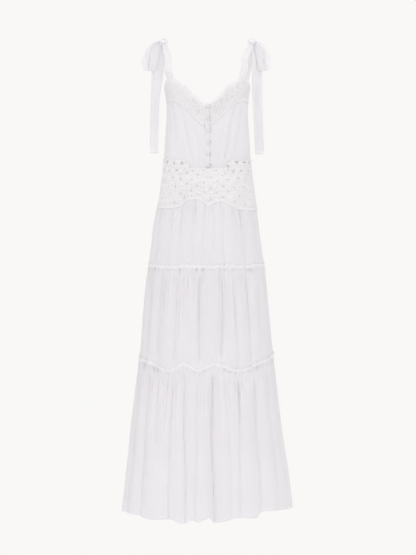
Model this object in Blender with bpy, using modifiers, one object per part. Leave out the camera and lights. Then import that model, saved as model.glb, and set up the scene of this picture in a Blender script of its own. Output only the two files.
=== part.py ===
"""A tiered cotton maxi dress, filled out as when worn: tie straps with a bow on each shoulder,
lace cups, a buttoned bodice, a cutwork lace waist and three gathered tiers with frilled headings.

Metres, +Z up, the front faces -Y and +X is the wearer's left. The origin lies midway between the
two shoulder points, where the straps bear on the wearer. Angles go round the body in degrees,
0 at the centre front, 90 at the wearer's left side seam, 180 at the centre back."""

import math
from collections import namedtuple

import bmesh
import bpy
from mathutils import Vector

# Cloth and lays
CLOTH = 0.0015
LACE = 0.0018
FRILL = 0.0012
RIBBON = 0.0014
SEAM_GAP = 0.0006  # between two edges sewn edge to edge
LAY_GAP = 0.0004  # between a piece and the one it lies on
LACE_OUT = 0.0031  # how far the lace's outer face stands off the cloth's
LAP = 0.006  # how far cloth runs on behind the lace that covers its edge
LAP_CLEAR = 0.003  # how far from that edge its folds begin

# The hollow form, from the cup tops down to the hem: lean moves a section back, sway to +X
Section = namedtuple("Section", "height half_width half_depth lean sway")
BODY = (
    Section(-0.100, 0.1335, 0.088, -0.006, 0.0000),
    Section(-0.139, 0.1335, 0.097, -0.008, 0.0000),
    Section(-0.177, 0.1275, 0.101, -0.008, 0.0000),
    Section(-0.228, 0.1280, 0.098, -0.005, 0.0000),
    Section(-0.278, 0.1315, 0.094, -0.001, 0.0000),
    Section(-0.329, 0.1345, 0.093, 0.002, 0.0000),
    Section(-0.379, 0.1375, 0.096, 0.004, 0.0000),
    Section(-0.430, 0.1430, 0.104, 0.006, 0.0000),
    Section(-0.480, 0.1500, 0.113, 0.007, 0.0000),
    Section(-0.518, 0.1565, 0.120, 0.007, -0.0015),
    Section(-0.581, 0.1675, 0.129, 0.006, -0.0030),
    Section(-0.657, 0.1770, 0.137, 0.004, -0.0030),
    Section(-0.733, 0.1870, 0.144, 0.003, -0.0030),
    Section(-0.809, 0.1955, 0.150, 0.002, -0.0030),
    Section(-0.885, 0.2020, 0.156, 0.002, -0.0030),
    Section(-0.961, 0.2080, 0.162, 0.001, -0.0030),
    Section(-1.036, 0.2160, 0.169, 0.001, -0.0030),
    Section(-1.112, 0.2255, 0.176, 0.000, -0.0030),
    Section(-1.188, 0.2355, 0.183, 0.000, -0.0030),
    Section(-1.264, 0.2450, 0.190, 0.000, -0.0015),
    Section(-1.340, 0.2550, 0.197, 0.000, 0.0000),
    Section(-1.490, 0.2720, 0.207, 0.000, 0.0000),
)
CUP_RISE = 0.013
CUP_ANGLE, CUP_HALF_ANGLE = 37.0, 25.0
CUP_HEIGHT, CUP_HALF_HEIGHT = -0.180, 0.048

# Edges that run round the body, as heights at angles from the centre front
Edge = namedtuple("Edge", "angle height")
CUP_TOP = (
    Edge(0, -0.2035), Edge(7, -0.1910), Edge(15, -0.1785), Edge(21, -0.1620), Edge(26, -0.1480),
    Edge(34, -0.1345), Edge(46, -0.1225), Edge(60, -0.1190), Edge(74, -0.1240), Edge(90, -0.1390),
)
CUP_LOW = (
    Edge(0, -0.2720), Edge(13, -0.2490), Edge(29, -0.2130), Edge(47, -0.1880),
    Edge(65, -0.1820), Edge(90, -0.1820),
)
BACK_TOP = (Edge(90, -0.1390), Edge(108, -0.1640), Edge(132, -0.1900), Edge(180, -0.2070))
BACK_LACE_DEPTH = 0.041
WAIST_TOP = (
    Edge(0, -0.4000), Edge(19, -0.3995), Edge(24, -0.3870), Edge(30, -0.3745),
    Edge(47, -0.3660), Edge(90, -0.3640),
)
WAIST_LOW = (
    Edge(-90, -0.5130), Edge(-42, -0.5166), Edge(-31, -0.5112), Edge(-26, -0.4990),
    Edge(-21, -0.4930), Edge(-14, -0.4902), Edge(-8, -0.4934), Edge(-4, -0.5010),
    Edge(1, -0.5121), Edge(6, -0.5050), Edge(12, -0.4990), Edge(18, -0.4962), Edge(23, -0.5023),
    Edge(30, -0.5112), Edge(36, -0.5200), Edge(48, -0.5225), Edge(90, -0.5180),
)
SEAM_1 = (Edge(-90, -0.7015), Edge(-38, -0.7086), Edge(33, -0.7087), Edge(90, -0.7000))
SEAM_2 = (
    Edge(-90, -0.9922), Edge(-49, -1.0102), Edge(-32, -1.0263), Edge(-19, -1.0060),
    Edge(-7, -1.0246), Edge(6, -1.0060), Edge(27, -1.0259), Edge(55, -1.0020), Edge(90, -0.9820),
)
HEM = (
    Edge(-90, -1.4700), Edge(-55, -1.4660), Edge(-40, -1.4740), Edge(-24, -1.4690),
    Edge(-16, -1.4800), Edge(-10, -1.4690), Edge(-6, -1.4735), Edge(1, -1.4620), Edge(5, -1.4760),
    Edge(14, -1.4690), Edge(20, -1.4640), Edge(33, -1.4670), Edge(40, -1.4500), Edge(56, -1.4530),
    Edge(90, -1.4620),
)

# Folds: soft troughs with a ridge on either side. top and bottom are shares of the piece's height.
Fold = namedtuple("Fold", "top_angle low_angle depth half_angle top bottom")
BODICE_FOLDS = (
    Fold(-58, -44, 0.0022, 5.0, 0.05, 0.95),
    Fold(-41, -17, 0.0035, 5.5, 0.00, 1.00),
    Fold(-22, -8, 0.0020, 4.5, 0.25, 1.00),
    Fold(28, 11, 0.0020, 4.5, 0.20, 1.00),
    Fold(42, 22, 0.0045, 5.0, 0.00, 1.00),
    Fold(60, 39, 0.0035, 5.5, 0.00, 1.00),
    Fold(124, 140, 0.0030, 7.0, 0.00, 1.00),
    Fold(150, 160, 0.0035, 6.5, 0.10, 1.00),
    Fold(212, 202, 0.0030, 6.5, 0.10, 1.00),
    Fold(238, 222, 0.0035, 7.0, 0.00, 1.00),
)
TIER_1_FOLDS = (
    Fold(-64, -66, 0.0045, 5.5, 0.00, 1.00),
    Fold(-40, -43, 0.0030, 5.0, 0.10, 0.80),
    Fold(-28, -31, 0.0045, 5.0, 0.05, 1.00),
    Fold(-13, -14, 0.0040, 4.5, 0.00, 0.95),
    Fold(-2, -4, 0.0040, 4.5, 0.00, 1.00),
    Fold(8, 7, 0.0040, 4.5, 0.00, 0.90),
    Fold(19, 18, 0.0050, 5.0, 0.10, 1.00),
    Fold(41, 43, 0.0055, 5.5, 0.00, 1.00),
    Fold(64, 68, 0.0050, 5.5, 0.05, 1.00),
    Fold(112, 110, 0.0045, 5.5, 0.00, 1.00),
    Fold(131, 128, 0.0050, 5.0, 0.00, 0.95),
    Fold(150, 149, 0.0045, 5.0, 0.10, 1.00),
    Fold(168, 166, 0.0050, 4.5, 0.00, 1.00),
    Fold(183, 185, 0.0040, 4.5, 0.00, 0.90),
    Fold(201, 204, 0.0050, 5.0, 0.05, 1.00),
    Fold(222, 226, 0.0045, 5.5, 0.00, 1.00),
    Fold(247, 249, 0.0050, 5.5, 0.10, 1.00),
)
TIER_2_FOLDS = (
    Fold(-66, -64, 0.0060, 5.5, 0.10, 1.00),
    Fold(-47, -49, 0.0070, 5.5, 0.00, 1.00),
    Fold(-29, -29, 0.0085, 5.0, 0.00, 1.00),
    Fold(-19, -17, 0.0045, 4.5, 0.00, 0.70),
    Fold(-6, -7, 0.0100, 5.0, 0.05, 1.00),
    Fold(15, 14, 0.0115, 5.0, 0.00, 0.95),
    Fold(27, 28, 0.0055, 5.0, 0.20, 1.00),
    Fold(42, 41, 0.0080, 6.0, 0.00, 1.00),
    Fold(56, 58, 0.0050, 5.5, 0.15, 0.90),
    Fold(73, 74, 0.0065, 5.5, 0.10, 1.00),
    Fold(108, 107, 0.0065, 6.0, 0.00, 1.00),
    Fold(127, 129, 0.0085, 5.5, 0.00, 1.00),
    Fold(146, 145, 0.0060, 5.0, 0.10, 0.90),
    Fold(162, 164, 0.0105, 5.0, 0.00, 1.00),
    Fold(181, 180, 0.0080, 5.0, 0.05, 1.00),
    Fold(197, 199, 0.0100, 5.0, 0.00, 0.95),
    Fold(217, 215, 0.0065, 5.5, 0.10, 1.00),
    Fold(235, 236, 0.0085, 5.5, 0.00, 1.00),
    Fold(253, 252, 0.0065, 5.5, 0.00, 0.90),
)
TIER_3_FOLDS = (
    Fold(-72, -70, 0.0070, 5.5, 0.10, 1.30),
    Fold(-55, -52, 0.0080, 5.5, 0.00, 1.30),
    Fold(-43, -41, 0.0060, 5.0, 0.00, 0.60),
    Fold(-29, -27, 0.0100, 6.0, 0.05, 1.30),
    Fold(-18, -15, 0.0120, 5.0, 0.00, 1.30),
    Fold(-7, -8, 0.0080, 4.5, 0.00, 1.30),
    Fold(5, 4, 0.0150, 5.0, 0.00, 1.30),
    Fold(17, 16, 0.0060, 5.0, 0.10, 1.30),
    Fold(27, 23, 0.0100, 6.5, 0.00, 1.30),
    Fold(44, 38, 0.0100, 6.0, 0.05, 1.30),
    Fold(60, 57, 0.0070, 5.5, 0.10, 1.30),
    Fold(75, 74, 0.0075, 5.5, 0.00, 1.30),
    Fold(106, 104, 0.0080, 6.0, 0.00, 1.30),
    Fold(122, 124, 0.0105, 5.5, 0.00, 1.30),
    Fold(138, 139, 0.0075, 5.5, 0.05, 1.30),
    Fold(155, 153, 0.0125, 5.5, 0.00, 1.30),
    Fold(169, 171, 0.0090, 5.0, 0.00, 1.30),
    Fold(184, 183, 0.0135, 5.5, 0.00, 1.30),
    Fold(199, 201, 0.0085, 5.0, 0.05, 1.30),
    Fold(215, 213, 0.0120, 5.5, 0.00, 1.30),
    Fold(232, 230, 0.0090, 6.0, 0.00, 1.30),
    Fold(250, 251, 0.0100, 5.5, 0.00, 1.30),
)
RIDGE_REACH = 0.5  # how wide the exponential that shapes a fold is
FOLD_FADE = 0.16  # share of a piece's height over which a fold starts or dies out
SEAM_SHARE = 0.35  # how much of a tier's folds is left where it is gathered into a seam
GATHER_DEPTH, GATHER_STEP = 0.0016, 20.0  # fine gathers under a seam, one every 20 degrees
GATHER_END, GATHER_FADE = 0.7, 0.6  # share of a tier's height where they are gone, and their fade

# Meshes: columns are counted round half of the body, and one front takes half of them
TIER_COLUMNS = 36
BODY_COLUMNS = 24
BODICE_ROWS, CUP_ROWS, BACK_LACE_ROWS, WAIST_ROWS, PLACKET_ROWS = 7, 4, 2, 6, 20
LINING_ROWS = 3
RIBBON_ROWS = {"strap_front": 12, "strap_back": 14, "loop": 20, "tail": 9}

SCALLOP = 0.0022  # half the depth of a scallop in the lace's free edge
LINING_BACK = 0.0012  # how far the cups' lining lies back, to leave room for the straps
LINING_DROP = 0.0065  # from the cups' upper edge down to their lining's

# Holes: their sizes are shares of a cell's width and height
PETAL_BANDS = ((-72, -24), (24, 72))  # angles between which the large petals are cut
FIELD_HALF_ANGLE = 54  # of the small eyelets below them
PETAL, SMALL_PETAL, EYELET, CUP_EYELET = (0.50, 0.62), (0.40, 0.40), (0.36, 0.30), (0.42, 0.36)

# Frills
HEADING_BELOW, HEADING_ABOVE = 0.002, 0.013
HEADING_FLARE, HEADING_WAVE = 0.0030, 0.0060
EDGING_ABOVE, EDGING_BELOW, EDGING_CLEAR = 0.002, 0.006, 0.0008
EDGING_FLARE, EDGING_WAVE = 0.0012, 0.0022
EDGING_WAVES = {"cup": 9, "back": 16, "waist": 17}  # waves in each piece
HEADING_LIFT, HEADING_LIFT_WAVES = 0.002, 5  # how its free edge rises and falls
DRIFT = 1.3  # how unevenly waves are spaced, in radians

# Placket and buttons
PLACKET_HALF_ANGLE = 3.2
PLACKET_GAP_ANGLE = 0.6  # from its edge to the frills under the cups
PLACKET_TOP = -0.2065
PLACKET_STEP = 0.012  # height over which it drops from the lace to the cloth
BUTTON_X = 0.0028
BUTTON_HEIGHTS = (-0.2126, -0.2476, -0.2841, -0.3210, -0.3575, -0.3930)
BUTTON_RADIUS, BUTTON_HALF_THICKNESS = 0.0042, 0.0030
PLACKET_CLEAR, PLACKET_FADE = 7.0, 6.0  # angles: bodice folds begin past the first, over the second

# Bows: the knots' centres, half sizes, and what hangs from them
KNOT_HEIGHT = 0.0075
KNOT_X = {"right": -0.1368, "left": 0.1413}
KNOT_HALF = Vector((0.0132, 0.0112, 0.0092))
# out is away from the neck, ahead is towards the front, down is below the knot's centre
Stop = namedtuple("Stop", "out ahead down width turn")
LOOP = (
    Stop(0.0144, 0.0055, 0.0010, 0.008, 20),
    Stop(0.0245, 0.0110, 0.0060, 0.018, 40),
    Stop(0.0350, 0.0150, 0.0160, 0.023, 47),
    Stop(0.0470, 0.0175, 0.0340, 0.026, 50),
    Stop(0.0565, 0.0185, 0.0530, 0.026, 50),
    Stop(0.0615, 0.0185, 0.0680, 0.026, 50),
    Stop(0.0585, 0.0185, 0.0830, 0.026, 50),
    Stop(0.0500, 0.0185, 0.0945, 0.026, 50),
    Stop(0.0400, 0.0185, 0.0945, 0.026, 50),
    Stop(0.0335, 0.0185, 0.0800, 0.026, 50),
    Stop(0.0310, 0.0185, 0.0600, 0.025, 48),
    Stop(0.0290, 0.0175, 0.0390, 0.030, 55),
    Stop(0.0205, 0.0140, 0.0190, 0.021, 45),
    Stop(0.0090, 0.0090, 0.0075, 0.008, 15),
)
LOOP_REACH = {"right": 1.0, "left": 0.78}  # the wearer's left bow is pulled tighter
BACK_LOOP_SCALE = 0.93
TAILS = {
    "right": {
        "front": (
            Stop(0.0040, 0.0030, 0.0092, 0.010, 0),
            Stop(0.0100, 0.0036, 0.0350, 0.020, 8),
            Stop(0.0145, 0.0036, 0.0700, 0.028, 12),
            Stop(0.0180, 0.0034, 0.1100, 0.029, 10),
            Stop(0.0250, 0.0034, 0.1700, 0.025, 4),
            Stop(0.0290, 0.0034, 0.2600, 0.024, -6),
            Stop(0.0320, 0.0034, 0.3530, 0.025, -8),
        ),
        "back": (
            Stop(0.0060, -0.0030, 0.0091, 0.010, 0),
            Stop(0.0160, -0.0036, 0.0350, 0.018, 8),
            Stop(0.0250, -0.0036, 0.0700, 0.024, 12),
            Stop(0.0280, -0.0036, 0.1100, 0.024, 10),
            Stop(0.0300, -0.0036, 0.1700, 0.024, 4),
            Stop(0.0320, -0.0036, 0.2600, 0.023, -6),
            Stop(0.0330, -0.0036, 0.3420, 0.024, -8),
        ),
    },
    "left": {
        "front": (
            Stop(0.0030, 0.0030, 0.0092, 0.010, 0),
            Stop(0.0080, 0.0036, 0.0350, 0.018, 6),
            Stop(0.0105, 0.0036, 0.0700, 0.023, 10),
            Stop(0.0120, 0.0034, 0.1100, 0.024, 8),
            Stop(0.0135, 0.0034, 0.1700, 0.024, 4),
            Stop(0.0180, 0.0034, 0.2600, 0.024, -6),
            Stop(0.0225, 0.0034, 0.3560, 0.025, -8),
        ),
        "back": (
            Stop(0.0060, -0.0030, 0.0091, 0.010, 0),
            Stop(0.0150, -0.0036, 0.0350, 0.017, 8),
            Stop(0.0195, -0.0036, 0.0700, 0.022, 12),
            Stop(0.0205, -0.0036, 0.1100, 0.024, 10),
            Stop(0.0215, -0.0036, 0.1700, 0.024, 4),
            Stop(0.0240, -0.0036, 0.2600, 0.023, -6),
            Stop(0.0260, -0.0036, 0.3450, 0.024, -8),
        ),
    },
}

# Straps: out is the distance from the centre line, ahead is towards the front. The tables hold the
# right side, and SHIFT says how much further out the left side is at the lace and at the knot.
Rest = namedtuple("Rest", "out ahead height width turn bow")
FRONT_STRAP_ANGLE = {"right": 63.0, "left": 56.0}
BACK_STRAP_ANGLE = {"right": 132.0, "left": 132.0}
STRAP_SHIFT_AT_LACE, STRAP_SHIFT_AT_KNOT = -0.0090, 0.0045
STRAP_IN_LACE = 0.015  # how far a strap runs down behind the lace
STRAP_CLEAR = 0.0001  # from the cloth's outer face in to the middle of a strap
FRONT_STRAP = (
    Rest(0.1225, 0.0560, -0.0900, 0.031, 38, 0.0008),
    Rest(0.1225, 0.0490, -0.0560, 0.023, 24, 0.0008),
    Rest(0.1295, 0.0350, -0.0260, 0.019, 12, 0.0006),
    Rest(0.1340, 0.0190, -0.0065, 0.015, 4, 0.0003),
    Rest(0.1365, 0.0088, 0.0014, 0.012, 0, 0.0),
)
BACK_STRAP = (
    Rest(0.1120, -0.0650, -0.1400, 0.026, -38, 0.0008),
    Rest(0.1215, -0.0610, -0.0950, 0.026, -32, 0.0008),
    Rest(0.1275, -0.0500, -0.0550, 0.025, -20, 0.0008),
    Rest(0.1295, -0.0340, -0.0240, 0.021, -10, 0.0006),
    Rest(0.1335, -0.0185, -0.0060, 0.016, -4, 0.0003),
    Rest(0.1365, -0.0088, 0.0014, 0.012, 0, 0.0),
)

# Colours
COTTON = (0.80, 0.79, 0.82, 1.0)
LACE_WHITE = (0.82, 0.81, 0.83, 1.0)
TRIM_WHITE = (0.86, 0.85, 0.87, 1.0)
BUTTON_WHITE = (0.78, 0.77, 0.79, 1.0)


def smooth(share):
    """0 to 1 with level ends."""
    share = min(1.0, max(0.0, share))
    return share * share * (3 - 2 * share)


def mix(start, end, share):
    return start + (end - start) * share


def bell(distance):
    return math.exp(-distance * distance)


def along_table(places, values, at):
    """A smooth curve through values at places, which never swings past them."""
    at = min(places[-1], max(places[0], at))
    index = next(i for i in range(len(places) - 1) if at <= places[i + 1])
    steps = [places[i + 1] - places[i] for i in range(len(places) - 1)]
    rates = [(values[i + 1] - values[i]) / steps[i] for i in range(len(steps))]

    def slope(i):
        if i == 0 or i == len(steps):
            return rates[min(i, len(rates) - 1)]
        before, after = rates[i - 1], rates[i]
        return 0.0 if before * after <= 0 else 2 * before * after / (before + after)

    width = steps[index]
    t = (at - places[index]) / width
    start, end = values[index], values[index + 1]
    rise = slope(index) * width * t * (1 - t) ** 2 - slope(index + 1) * width * t * t * (1 - t)
    return mix(start, end, smooth(t)) + rise


def section_at(height):
    depths = [-row.height for row in BODY]
    return Section(
        height,
        along_table(depths, [row.half_width for row in BODY], -height),
        along_table(depths, [row.half_depth for row in BODY], -height),
        along_table(depths, [row.lean for row in BODY], -height),
        along_table(depths, [row.sway for row in BODY], -height),
    )


def edge_height(rows, angle):
    return along_table([row.angle for row in rows], [row.height for row in rows], angle)


def front_like(angle):
    """The angle on the front that lies opposite an angle on the back."""
    return angle if angle <= 90 else 180 - angle


def cup_rise(angle, height):
    if abs(angle) > 90:
        return 0.0
    across = (abs(angle) - CUP_ANGLE) / CUP_HALF_ANGLE
    up = (height - CUP_HEIGHT) / CUP_HALF_HEIGHT
    return CUP_RISE * bell(across) * bell(up)


def body_point(angle, height, out=0.0):
    """A point on the form at an angle and a height, moved out square to its outline."""
    section = section_at(height)
    sine, cosine = math.sin(math.radians(angle)), math.cos(math.radians(angle))
    outward = Vector((sine / section.half_width, -cosine / section.half_depth, 0)).normalized()
    x = section.sway + section.half_width * sine
    on_form = Vector((x, section.lean - section.half_depth * cosine, height))
    return on_form + outward * (out + cup_rise(angle, height))


def fold_shape(distance):
    """-1 in the trough, 0 at a distance of 1, a ridge beyond it."""
    return -(1 - distance * distance) * math.exp(-RIDGE_REACH * distance * distance)


def folds_shift(folds, angle, share):
    """How far a table of folds moves the cloth out at an angle and a share of its height."""
    total = 0.0
    for fold in folds:
        middle = mix(fold.top_angle, fold.low_angle, share)
        away = (angle - middle + 180) % 360 - 180
        fade = smooth((share - fold.top) / FOLD_FADE) * smooth((fold.bottom - share) / FOLD_FADE)
        total += fold.depth * fade * fold_shape(away / fold.half_angle)
    return total


Tier = namedtuple("Tier", "folds top low")
TIERS = (
    Tier(TIER_1_FOLDS, WAIST_LOW, SEAM_1),
    Tier(TIER_2_FOLDS, SEAM_1, SEAM_2),
    Tier(TIER_3_FOLDS, SEAM_2, HEM),
)


def seam_shift(index, angle):
    """The folds left in the seam under a tier."""
    return SEAM_SHARE * folds_shift(TIERS[index].folds, angle, 1 - FOLD_FADE)


def tier_shift(index, angle, share):
    """How far a tier's cloth moves out: it leaves the seam above it and is drawn into the one below."""
    own = folds_shift(TIERS[index].folds, angle, share)
    gathers = smooth(share / FOLD_FADE) * smooth((GATHER_END - share) / GATHER_FADE)
    own += GATHER_DEPTH * gathers * math.cos(math.radians(angle) * 360 / GATHER_STEP)
    if index > 0:
        own = mix(seam_shift(index - 1, angle), own, smooth(share / FOLD_FADE))
    else:
        own *= smooth(share / FOLD_FADE)
    if index < len(TIERS) - 1:
        own = mix(own, seam_shift(index, angle), smooth((share - 1 + FOLD_FADE) / FOLD_FADE))
    return own


def tier_edges(index, angle):
    """The heights of a tier's top and lower edge at an angle."""
    around = front_like(angle)
    top = edge_height(TIERS[index].top, around)
    top += LAP if index == 0 else -SEAM_GAP / 2
    low = edge_height(TIERS[index].low, around)
    low += SEAM_GAP / 2 if index < len(TIERS) - 1 else 0.0
    return top, low


def tier_point(index, angle, height, out=0.0):
    top, low = tier_edges(index, angle)
    share = min(1.0, max(0.0, (top - height) / (top - low)))
    return body_point(angle, height, out + tier_shift(index, angle, share))


# ------------------------------------------------------------------ building meshes


def material(name, colour, roughness):
    made = bpy.data.materials.new(name)
    made.use_nodes = True
    shader = made.node_tree.nodes["Principled BSDF"]
    shader.inputs["Base Color"].default_value = colour
    shader.inputs["Roughness"].default_value = roughness
    shader.inputs["Metallic"].default_value = 0.0
    return made


def finished(mesh, name, look, collection):
    """The named object of a mesh, with a material of its own, shaded smooth."""
    mesh.materials.append(material(name + "_cloth", *look))
    mesh.shade_smooth()
    made = bpy.data.objects.new(name, mesh)
    collection.objects.link(made)
    return made


def cut_hole(bm, face, share_across, share_up, rounded):
    """Cuts a hole in a flat cell, a share of its width and height across, with 4 or 8 sides."""
    centre = face.calc_center_median()
    corners = [vert.co - centre for vert in face.verts]
    half_across = max(abs(corner.x) for corner in corners)
    half_up = max(abs(corner.y) for corner in corners)
    bmesh.ops.inset_individual(bm, faces=[face], thickness=0.25 * min(half_across, half_up))
    if rounded:
        bmesh.ops.subdivide_edges(bm, edges=list(face.edges), cuts=1)
    inside = min(bm.faces, key=lambda f: (f.calc_center_median() - centre).length)
    for vert in inside.verts:
        away = vert.co - centre
        angle = math.atan2(away.y / half_up, away.x / half_across)
        vert.co = centre + Vector(
            (math.cos(angle) * share_across * half_across, math.sin(angle) * share_up * half_up, 0)
        )
    bmesh.ops.delete(bm, geom=[inside], context="FACES_ONLY")


Hole = namedtuple("Hole", "column row across up rounded")


def panel(name, columns, rows, place, thickness, look, collection, offset=-1.0, holes=()):
    """A sheet of cloth: a flat grid, with holes cut in its cells, carried to its place by place(u, v),
    where u runs to the wearer's left across the front and v runs up, and thickened inwards."""
    bm = bmesh.new()
    bmesh.ops.create_grid(bm, x_segments=columns, y_segments=rows, size=0.5)
    cells = {}
    for face in bm.faces:
        centre = face.calc_center_median()
        cells[int((centre.x + 0.5) * columns), int((centre.y + 0.5) * rows)] = centre.copy()
    for hole in holes:
        centre = cells[hole.column, hole.row]
        face = min(bm.faces, key=lambda f: (f.calc_center_median() - centre).length)
        cut_hole(bm, face, hole.across, hole.up, hole.rounded)
    for vert in bm.verts:
        vert.co = place(vert.co.x + 0.5, vert.co.y + 0.5)
    bm.normal_update()
    mesh = bpy.data.meshes.new(name)
    bm.to_mesh(mesh)
    bm.free()
    made = finished(mesh, name, look, collection)
    wall = made.modifiers.new("Wall", "SOLIDIFY")
    wall.thickness = thickness
    wall.offset = offset
    return made


def across_body(start, end, place_height, out=0.0, shift=None):
    """place(u, v) for a panel between two angles. place_height(angle, v) gives each point's height,
    and shift(angle, v) how far folds move it out. Side edges keep half a seam's gap."""

    def place(u, v):
        middle = mix(start, end, u)
        height = place_height(middle, v)
        inset = math.degrees(SEAM_GAP / 2 / section_at(height).half_depth)
        angle = mix(start + inset, end - inset, u)
        return body_point(angle, height, out + (shift(angle, v) if shift else 0.0))

    return place


def between_columns(place, columns):
    """place(u, v) on the flat facets between a panel's columns, for what lies on that panel."""

    def on_facets(u, v):
        column = min(int(u * columns), columns - 1)
        share = u * columns - column
        return place(column / columns, v).lerp(place((column + 1) / columns, v), share)

    return on_facets


# ------------------------------------------------------------------ bodice


HALVES = {"right": (-90.0, 0.0), "left": (0.0, 90.0)}
ROUND = {"front": (-90.0, 90.0), "back": (90.0, 270.0)}


def cup_top(angle):
    return edge_height(CUP_TOP, abs(angle))


def cup_low(angle):
    return edge_height(CUP_LOW, abs(angle))


def back_top(angle):
    return edge_height(BACK_TOP, angle if angle <= 180 else 360 - angle)


def back_low(angle):
    return back_top(angle) - BACK_LACE_DEPTH


def waist_top(angle):
    return edge_height(WAIST_TOP, abs(front_like(angle)))


def waist_low(angle):
    return edge_height(WAIST_LOW, front_like(angle))


def bodice_share(v):
    """How far up its free height a row of the bodice lies: the first and last rows are laps."""
    return min(1.0, max(0.0, (v * BODICE_ROWS - 1) / (BODICE_ROWS - 2)))


def bodice_height(low, top, v):
    row = v * BODICE_ROWS
    height = mix(low + LAP_CLEAR, top - LAP_CLEAR, bodice_share(v))
    behind_waist = max(0.0, 1 - row) * (LAP + LAP_CLEAR)
    behind_cup = max(0.0, row - BODICE_ROWS + 1) * (LAP + LAP_CLEAR)
    return height - behind_waist + behind_cup


def bodice_shift(angle, v):
    """Bodice folds, drawn flat where lace holds the cloth."""
    share = 1 - bodice_share(v)
    held = smooth(share / FOLD_FADE) * smooth((1 - share) / FOLD_FADE)
    held *= smooth((abs(angle) - PLACKET_CLEAR) / PLACKET_FADE)
    return held * folds_shift(BODICE_FOLDS, angle, share)


def make_bodice(collection):
    look = (COTTON, 0.85)
    for side, (start, end) in HALVES.items():
        place = across_body(
            start, end,
            lambda angle, v: bodice_height(waist_top(angle), cup_low(angle), v),
            shift=bodice_shift,
        )
        columns = BODY_COLUMNS // 2
        panel("bodice_front_" + side, columns, BODICE_ROWS, place, CLOTH, look, collection)
    place = across_body(
        90, 270,
        lambda angle, v: bodice_height(waist_top(angle), back_low(angle), v),
        shift=bodice_shift,
    )
    panel("bodice_back", BODY_COLUMNS, BODICE_ROWS, place, CLOTH, look, collection)


def scallop(angle, v, rows):
    """How far the top row of a lace edge swings up and down, a column up and a column down."""
    column = angle / 180 * BODY_COLUMNS
    return SCALLOP * math.cos(math.pi * column) * max(0.0, v * rows - rows + 1)


def cup_holes(side, columns):
    """Small cut holes by the centre of a cup, staggered from row to row."""
    for column in range(1, columns // 2):
        for row in range(1, CUP_ROWS - 1):
            if (column + row) % 2 == 0:
                real = column if side == "left" else columns - 1 - column
                yield Hole(real, row, *CUP_EYELET, False)


def make_cups(collection):
    """Lace cups over a plain lining that goes on up from the bodice, and the back's lace."""
    look = (LACE_WHITE, 0.9)
    columns = BODY_COLUMNS // 2
    for side, (start, end) in HALVES.items():
        place = across_body(
            start, end,
            lambda angle, v: mix(cup_low(angle), cup_top(angle), v) + scallop(angle, v, CUP_ROWS),
            LACE_OUT,
        )
        panel(
            "cup_" + side, columns, CUP_ROWS, place, LACE, look, collection,
            holes=cup_holes(side, columns),
        )
        place = across_body(
            start, end,
            lambda angle, v: mix(
                cup_low(angle) + LAP + SEAM_GAP, cup_top(angle) - LINING_DROP, v
            ),
            shift=lambda angle, v: -LINING_BACK * smooth(2 * v),
        )
        panel("cup_lining_" + side, columns, LINING_ROWS, place, CLOTH, (COTTON, 0.85), collection)
    place = across_body(
        90, 270,
        lambda angle, v: mix(back_low(angle), back_top(angle), v)
        + scallop(angle, v, BACK_LACE_ROWS),
        LACE_OUT,
    )
    panel("back_lace", BODY_COLUMNS, BACK_LACE_ROWS, place, LACE, look, collection)


def ripple(waves, u, start=0.0):
    """A frill's waves along its length, 0 to 1, unevenly spaced."""
    drift = DRIFT * math.sin(waves * u / 2 + start)
    return 0.5 + 0.5 * math.sin(2 * math.pi * waves * u + drift)


def edging(name, columns, angles, edge, waves, collection):
    """A narrow frill that hangs from a lace edge: place follows the facets of the lace."""
    start, end = angles

    def lace_height(angle, v):
        return edge(angle) + mix(-EDGING_BELOW, EDGING_ABOVE, v)

    on_lace = between_columns(across_body(start, end, lace_height, LACE_OUT), columns)

    def place(u, v):
        point = on_lace(u, v)
        angle = mix(start, end, u)
        outward = (body_point(angle, point.z, 1.0) - body_point(angle, point.z)).normalized()
        wave = ripple(waves, u)
        away = EDGING_CLEAR + FRILL + (1 - v) * (EDGING_FLARE + EDGING_WAVE * wave)
        return point + outward * away

    panel(name, 2 * columns, 1, place, FRILL, (TRIM_WHITE, 0.85), collection)


def make_bust_edging(collection):
    gap = PLACKET_HALF_ANGLE + PLACKET_GAP_ANGLE
    columns, waves = BODY_COLUMNS // 2, EDGING_WAVES["cup"]
    edging("cup_edging_right", columns, (-90, -gap), cup_low, waves, collection)
    edging("cup_edging_left", columns, (gap, 90), cup_low, waves, collection)
    edging("back_edging", BODY_COLUMNS, (90, 270), back_low, EDGING_WAVES["back"], collection)


def placket_out(height):
    """The placket's outer face: on the cups' lace above, on the bodice below."""
    on_lace = smooth((height - cup_low(0) + PLACKET_STEP) / PLACKET_STEP)
    return LAY_GAP + FRILL + on_lace * (LACE_OUT + LAY_GAP)


def make_placket(collection):
    low = waist_top(0) + SEAM_GAP

    def place(u, v):
        height = mix(low, PLACKET_TOP, v)
        angle = mix(-PLACKET_HALF_ANGLE, PLACKET_HALF_ANGLE, u)
        return body_point(angle, height, placket_out(height))

    panel("placket", 2, PLACKET_ROWS, place, FRILL, (TRIM_WHITE, 0.85), collection)
    for number, height in enumerate(BUTTON_HEIGHTS, 1):
        section = section_at(height)
        angle = math.degrees(math.asin(BUTTON_X / section.half_width))
        out = max(placket_out(height + side * BUTTON_RADIUS) for side in (-1, 1))
        out += LAY_GAP + BUTTON_HALF_THICKNESS
        bm = bmesh.new()
        bmesh.ops.create_uvsphere(bm, u_segments=8, v_segments=6, radius=BUTTON_RADIUS)
        bmesh.ops.scale(bm, vec=(1, BUTTON_HALF_THICKNESS / BUTTON_RADIUS, 1), verts=bm.verts)
        mesh = bpy.data.meshes.new("button")
        bm.to_mesh(mesh)
        bm.free()
        made = finished(mesh, "button_%d" % number, (BUTTON_WHITE, 0.5), collection)
        made.location = body_point(angle, height, out)


# ------------------------------------------------------------------ waist


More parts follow.
